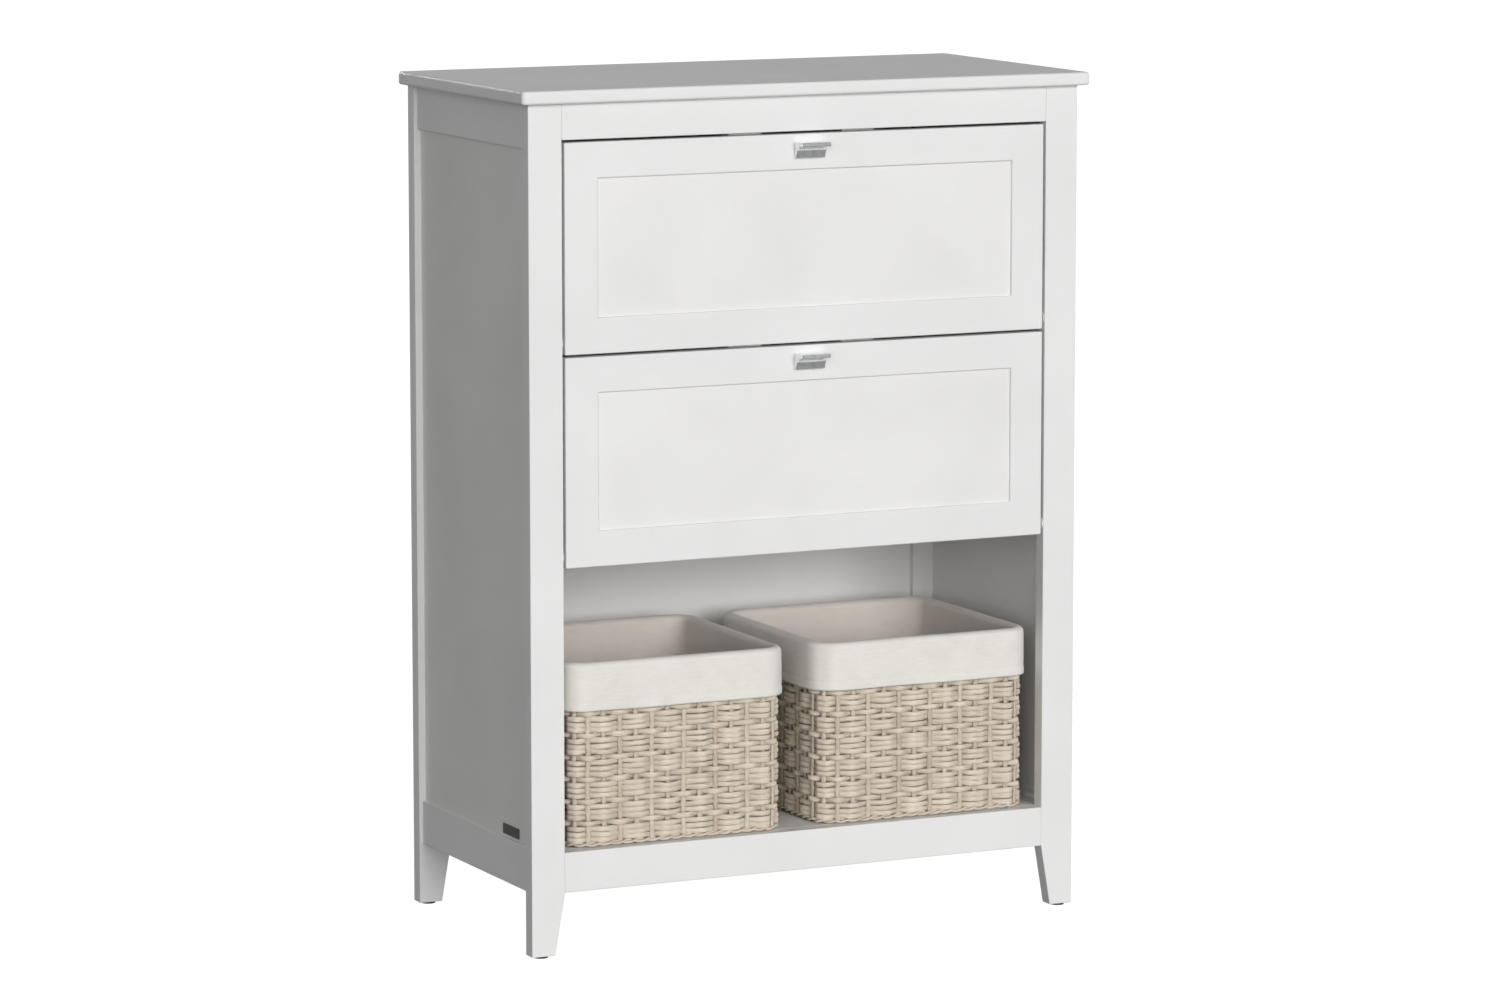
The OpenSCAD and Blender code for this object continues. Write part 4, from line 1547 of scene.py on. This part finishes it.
@dataclass
class Basket:
    """A woven seagrass basket and the cotton liner that is turned over its rim."""

    hand: Hand
    palette: Palette
    seed: int

    def build(self) -> None:
        """Makes the basket."""
        tub = Tub(self.hand)
        random = np.random.default_rng(self.seed)
        weavers = Weave(tub, self.palette, random).build()
        Liner(tub, self.palette, random).build(weavers)


# ---------------------------------------------------------------- studio


@dataclass(frozen=True)
class Lamp:
    """A soft light from far off.

    The strength is how much light falls on a face square to it. In degrees, the azimuth is to the right of
    straight in front, the elevation is above the horizon, and the spread is across the light.
    """

    name: str
    strength: float
    azimuth: float
    elevation: float
    spread: float

    def hang(self) -> None:
        """Puts the light in the scene."""
        light = bpy.data.lights.new(self.name, "SUN")
        light.energy = self.strength
        light.angle = math.radians(self.spread)
        lamp = bpy.data.objects.new(self.name, light)
        lamp.rotation_euler = Euler((math.radians(90 - self.elevation), 0.0, math.radians(self.azimuth)))
        bpy.context.scene.collection.objects.link(lamp)


@dataclass
class Studio:
    """The pale floor, the soft light and the camera.

    What is seen in the camera is brighter than what lights the cabinet, and a mirrored share of that shows in
    its gloss. The ambient is the surroundings' strength as a light.
    """

    camera_place: tuple[float, float, float] = (-2.90294, -6.02392, 1.43395)
    yaw: float = 0.44983
    pitch: float = 0.14301
    lens: float = 142.02
    sensor: float = 36.0
    lamps: tuple[Lamp, ...] = (
        Lamp("key", 2.06, 4.0, 13.0, 30.0), Lamp("fill", 0.9, -36.0, 8.0, 35.0),
        Lamp("rear", 1.3, 180.0, 6.0, 12.0), Lamp("side", 0.7, 105.0, 6.0, 12.0),
    )
    ambient: float = 0.15
    mirrored: float = 0.4
    floor_size: float = 60.0
    floor_tints: tuple[Colour, Colour] = ((0.29, 0.29, 0.29), (0.31, 0.31, 0.31))
    floor_glow: float = 0.92
    floor_mirrored: float = 0.2

    def camera(self) -> None:
        """The camera, a little above the top, to the left of the front."""
        lens = bpy.data.cameras.new("camera")
        lens.lens, lens.sensor_width = self.lens, self.sensor
        lens.clip_start, lens.clip_end = 0.1, 200.0
        camera = bpy.data.objects.new("camera", lens)
        camera.location = self.camera_place
        camera.rotation_euler = Euler((math.pi / 2 - self.pitch, 0.0, -self.yaw))
        bpy.context.scene.collection.objects.link(camera)
        bpy.context.scene.camera = camera

    def surroundings(self) -> None:
        """White surroundings, which light the cabinet evenly and more weakly than they look."""
        world = bpy.data.worlds.new("surroundings")
        world.use_nodes = True
        nodes, links = world.node_tree.nodes, world.node_tree.links
        back = nodes["Background"]
        back.inputs["Color"].default_value = WHITE
        path = nodes.new("ShaderNodeLightPath")
        mirrored = nodes.new("ShaderNodeMath")
        mirrored.operation = "MULTIPLY"
        mirrored.inputs[1].default_value = self.mirrored
        seen = nodes.new("ShaderNodeMath")
        seen.operation = "MAXIMUM"
        share = nodes.new("ShaderNodeMapRange")
        share.inputs["To Min"].default_value = self.ambient
        share.inputs["To Max"].default_value = 1.0
        links.new(path.outputs["Is Glossy Ray"], mirrored.inputs[0])
        links.new(path.outputs["Is Camera Ray"], seen.inputs[0])
        links.new(mirrored.outputs[0], seen.inputs[1])
        links.new(seen.outputs[0], share.inputs["Value"])
        links.new(share.outputs["Result"], back.inputs["Strength"])
        bpy.context.scene.world = world

    def floor(self) -> None:
        """A plain pale floor that looks almost white and keeps a faint shadow."""
        half = self.floor_size / 2
        corners = np.array([[-half, -half, 0], [half, -half, 0], [half, half, 0], [-half, half, 0]], float)
        mesh = bpy.data.meshes.new("floor")
        mesh.from_pydata(corners, [], [[0, 1, 2, 3]])
        tree = NodeTree("pale_floor")
        cloud = tree.noise(tree.place(), 0.8)
        tree.colour(tree.ramp(cloud, list(zip((0.3, 0.7), self.floor_tints, strict=True))))
        tree.constant(Roughness=0.9)
        path = tree.add("LightPath")
        mirrored = tree.maths("MULTIPLY", path.outputs["Is Glossy Ray"], self.floor_mirrored)
        seen = tree.maths("MAXIMUM", path.outputs["Is Camera Ray"], mirrored)
        tree.shader.inputs["Emission Color"].default_value = WHITE
        glow = tree.spread(seen, 0.0, self.floor_glow, whole=True)
        tree.link(glow, tree.shader.inputs["Emission Strength"])
        mesh.materials.append(tree.material)
        ground = bpy.data.objects.new("floor", mesh)
        bpy.context.scene.collection.objects.link(ground)
        ground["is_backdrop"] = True

    def build(self) -> None:
        """Sets the studio up."""
        bpy.context.scene.view_settings.view_transform = "Standard"
        self.camera()
        for lamp in self.lamps:
            lamp.hang()
        self.surroundings()
        self.floor()


def main() -> None:
    """Builds the cabinet and its studio."""
    logging.basicConfig(level=logging.INFO, format="%(name)s: %(message)s")
    palette = Palette()
    Studio().build()
    Carcass(palette).build()
    for level in ("upper", "lower"):
        Flap(level, palette).build()
    for seed, hand in enumerate(Hand, start=11):
        Basket(hand, palette, seed).build()
    sizes = {"cad": [list(c) for c in CAD_BOX], "visual": [list(c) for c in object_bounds()]}
    LOG.info("cad box %s, visual box %s", sizes["cad"], sizes["visual"])


if __name__ == "__main__":
    main()
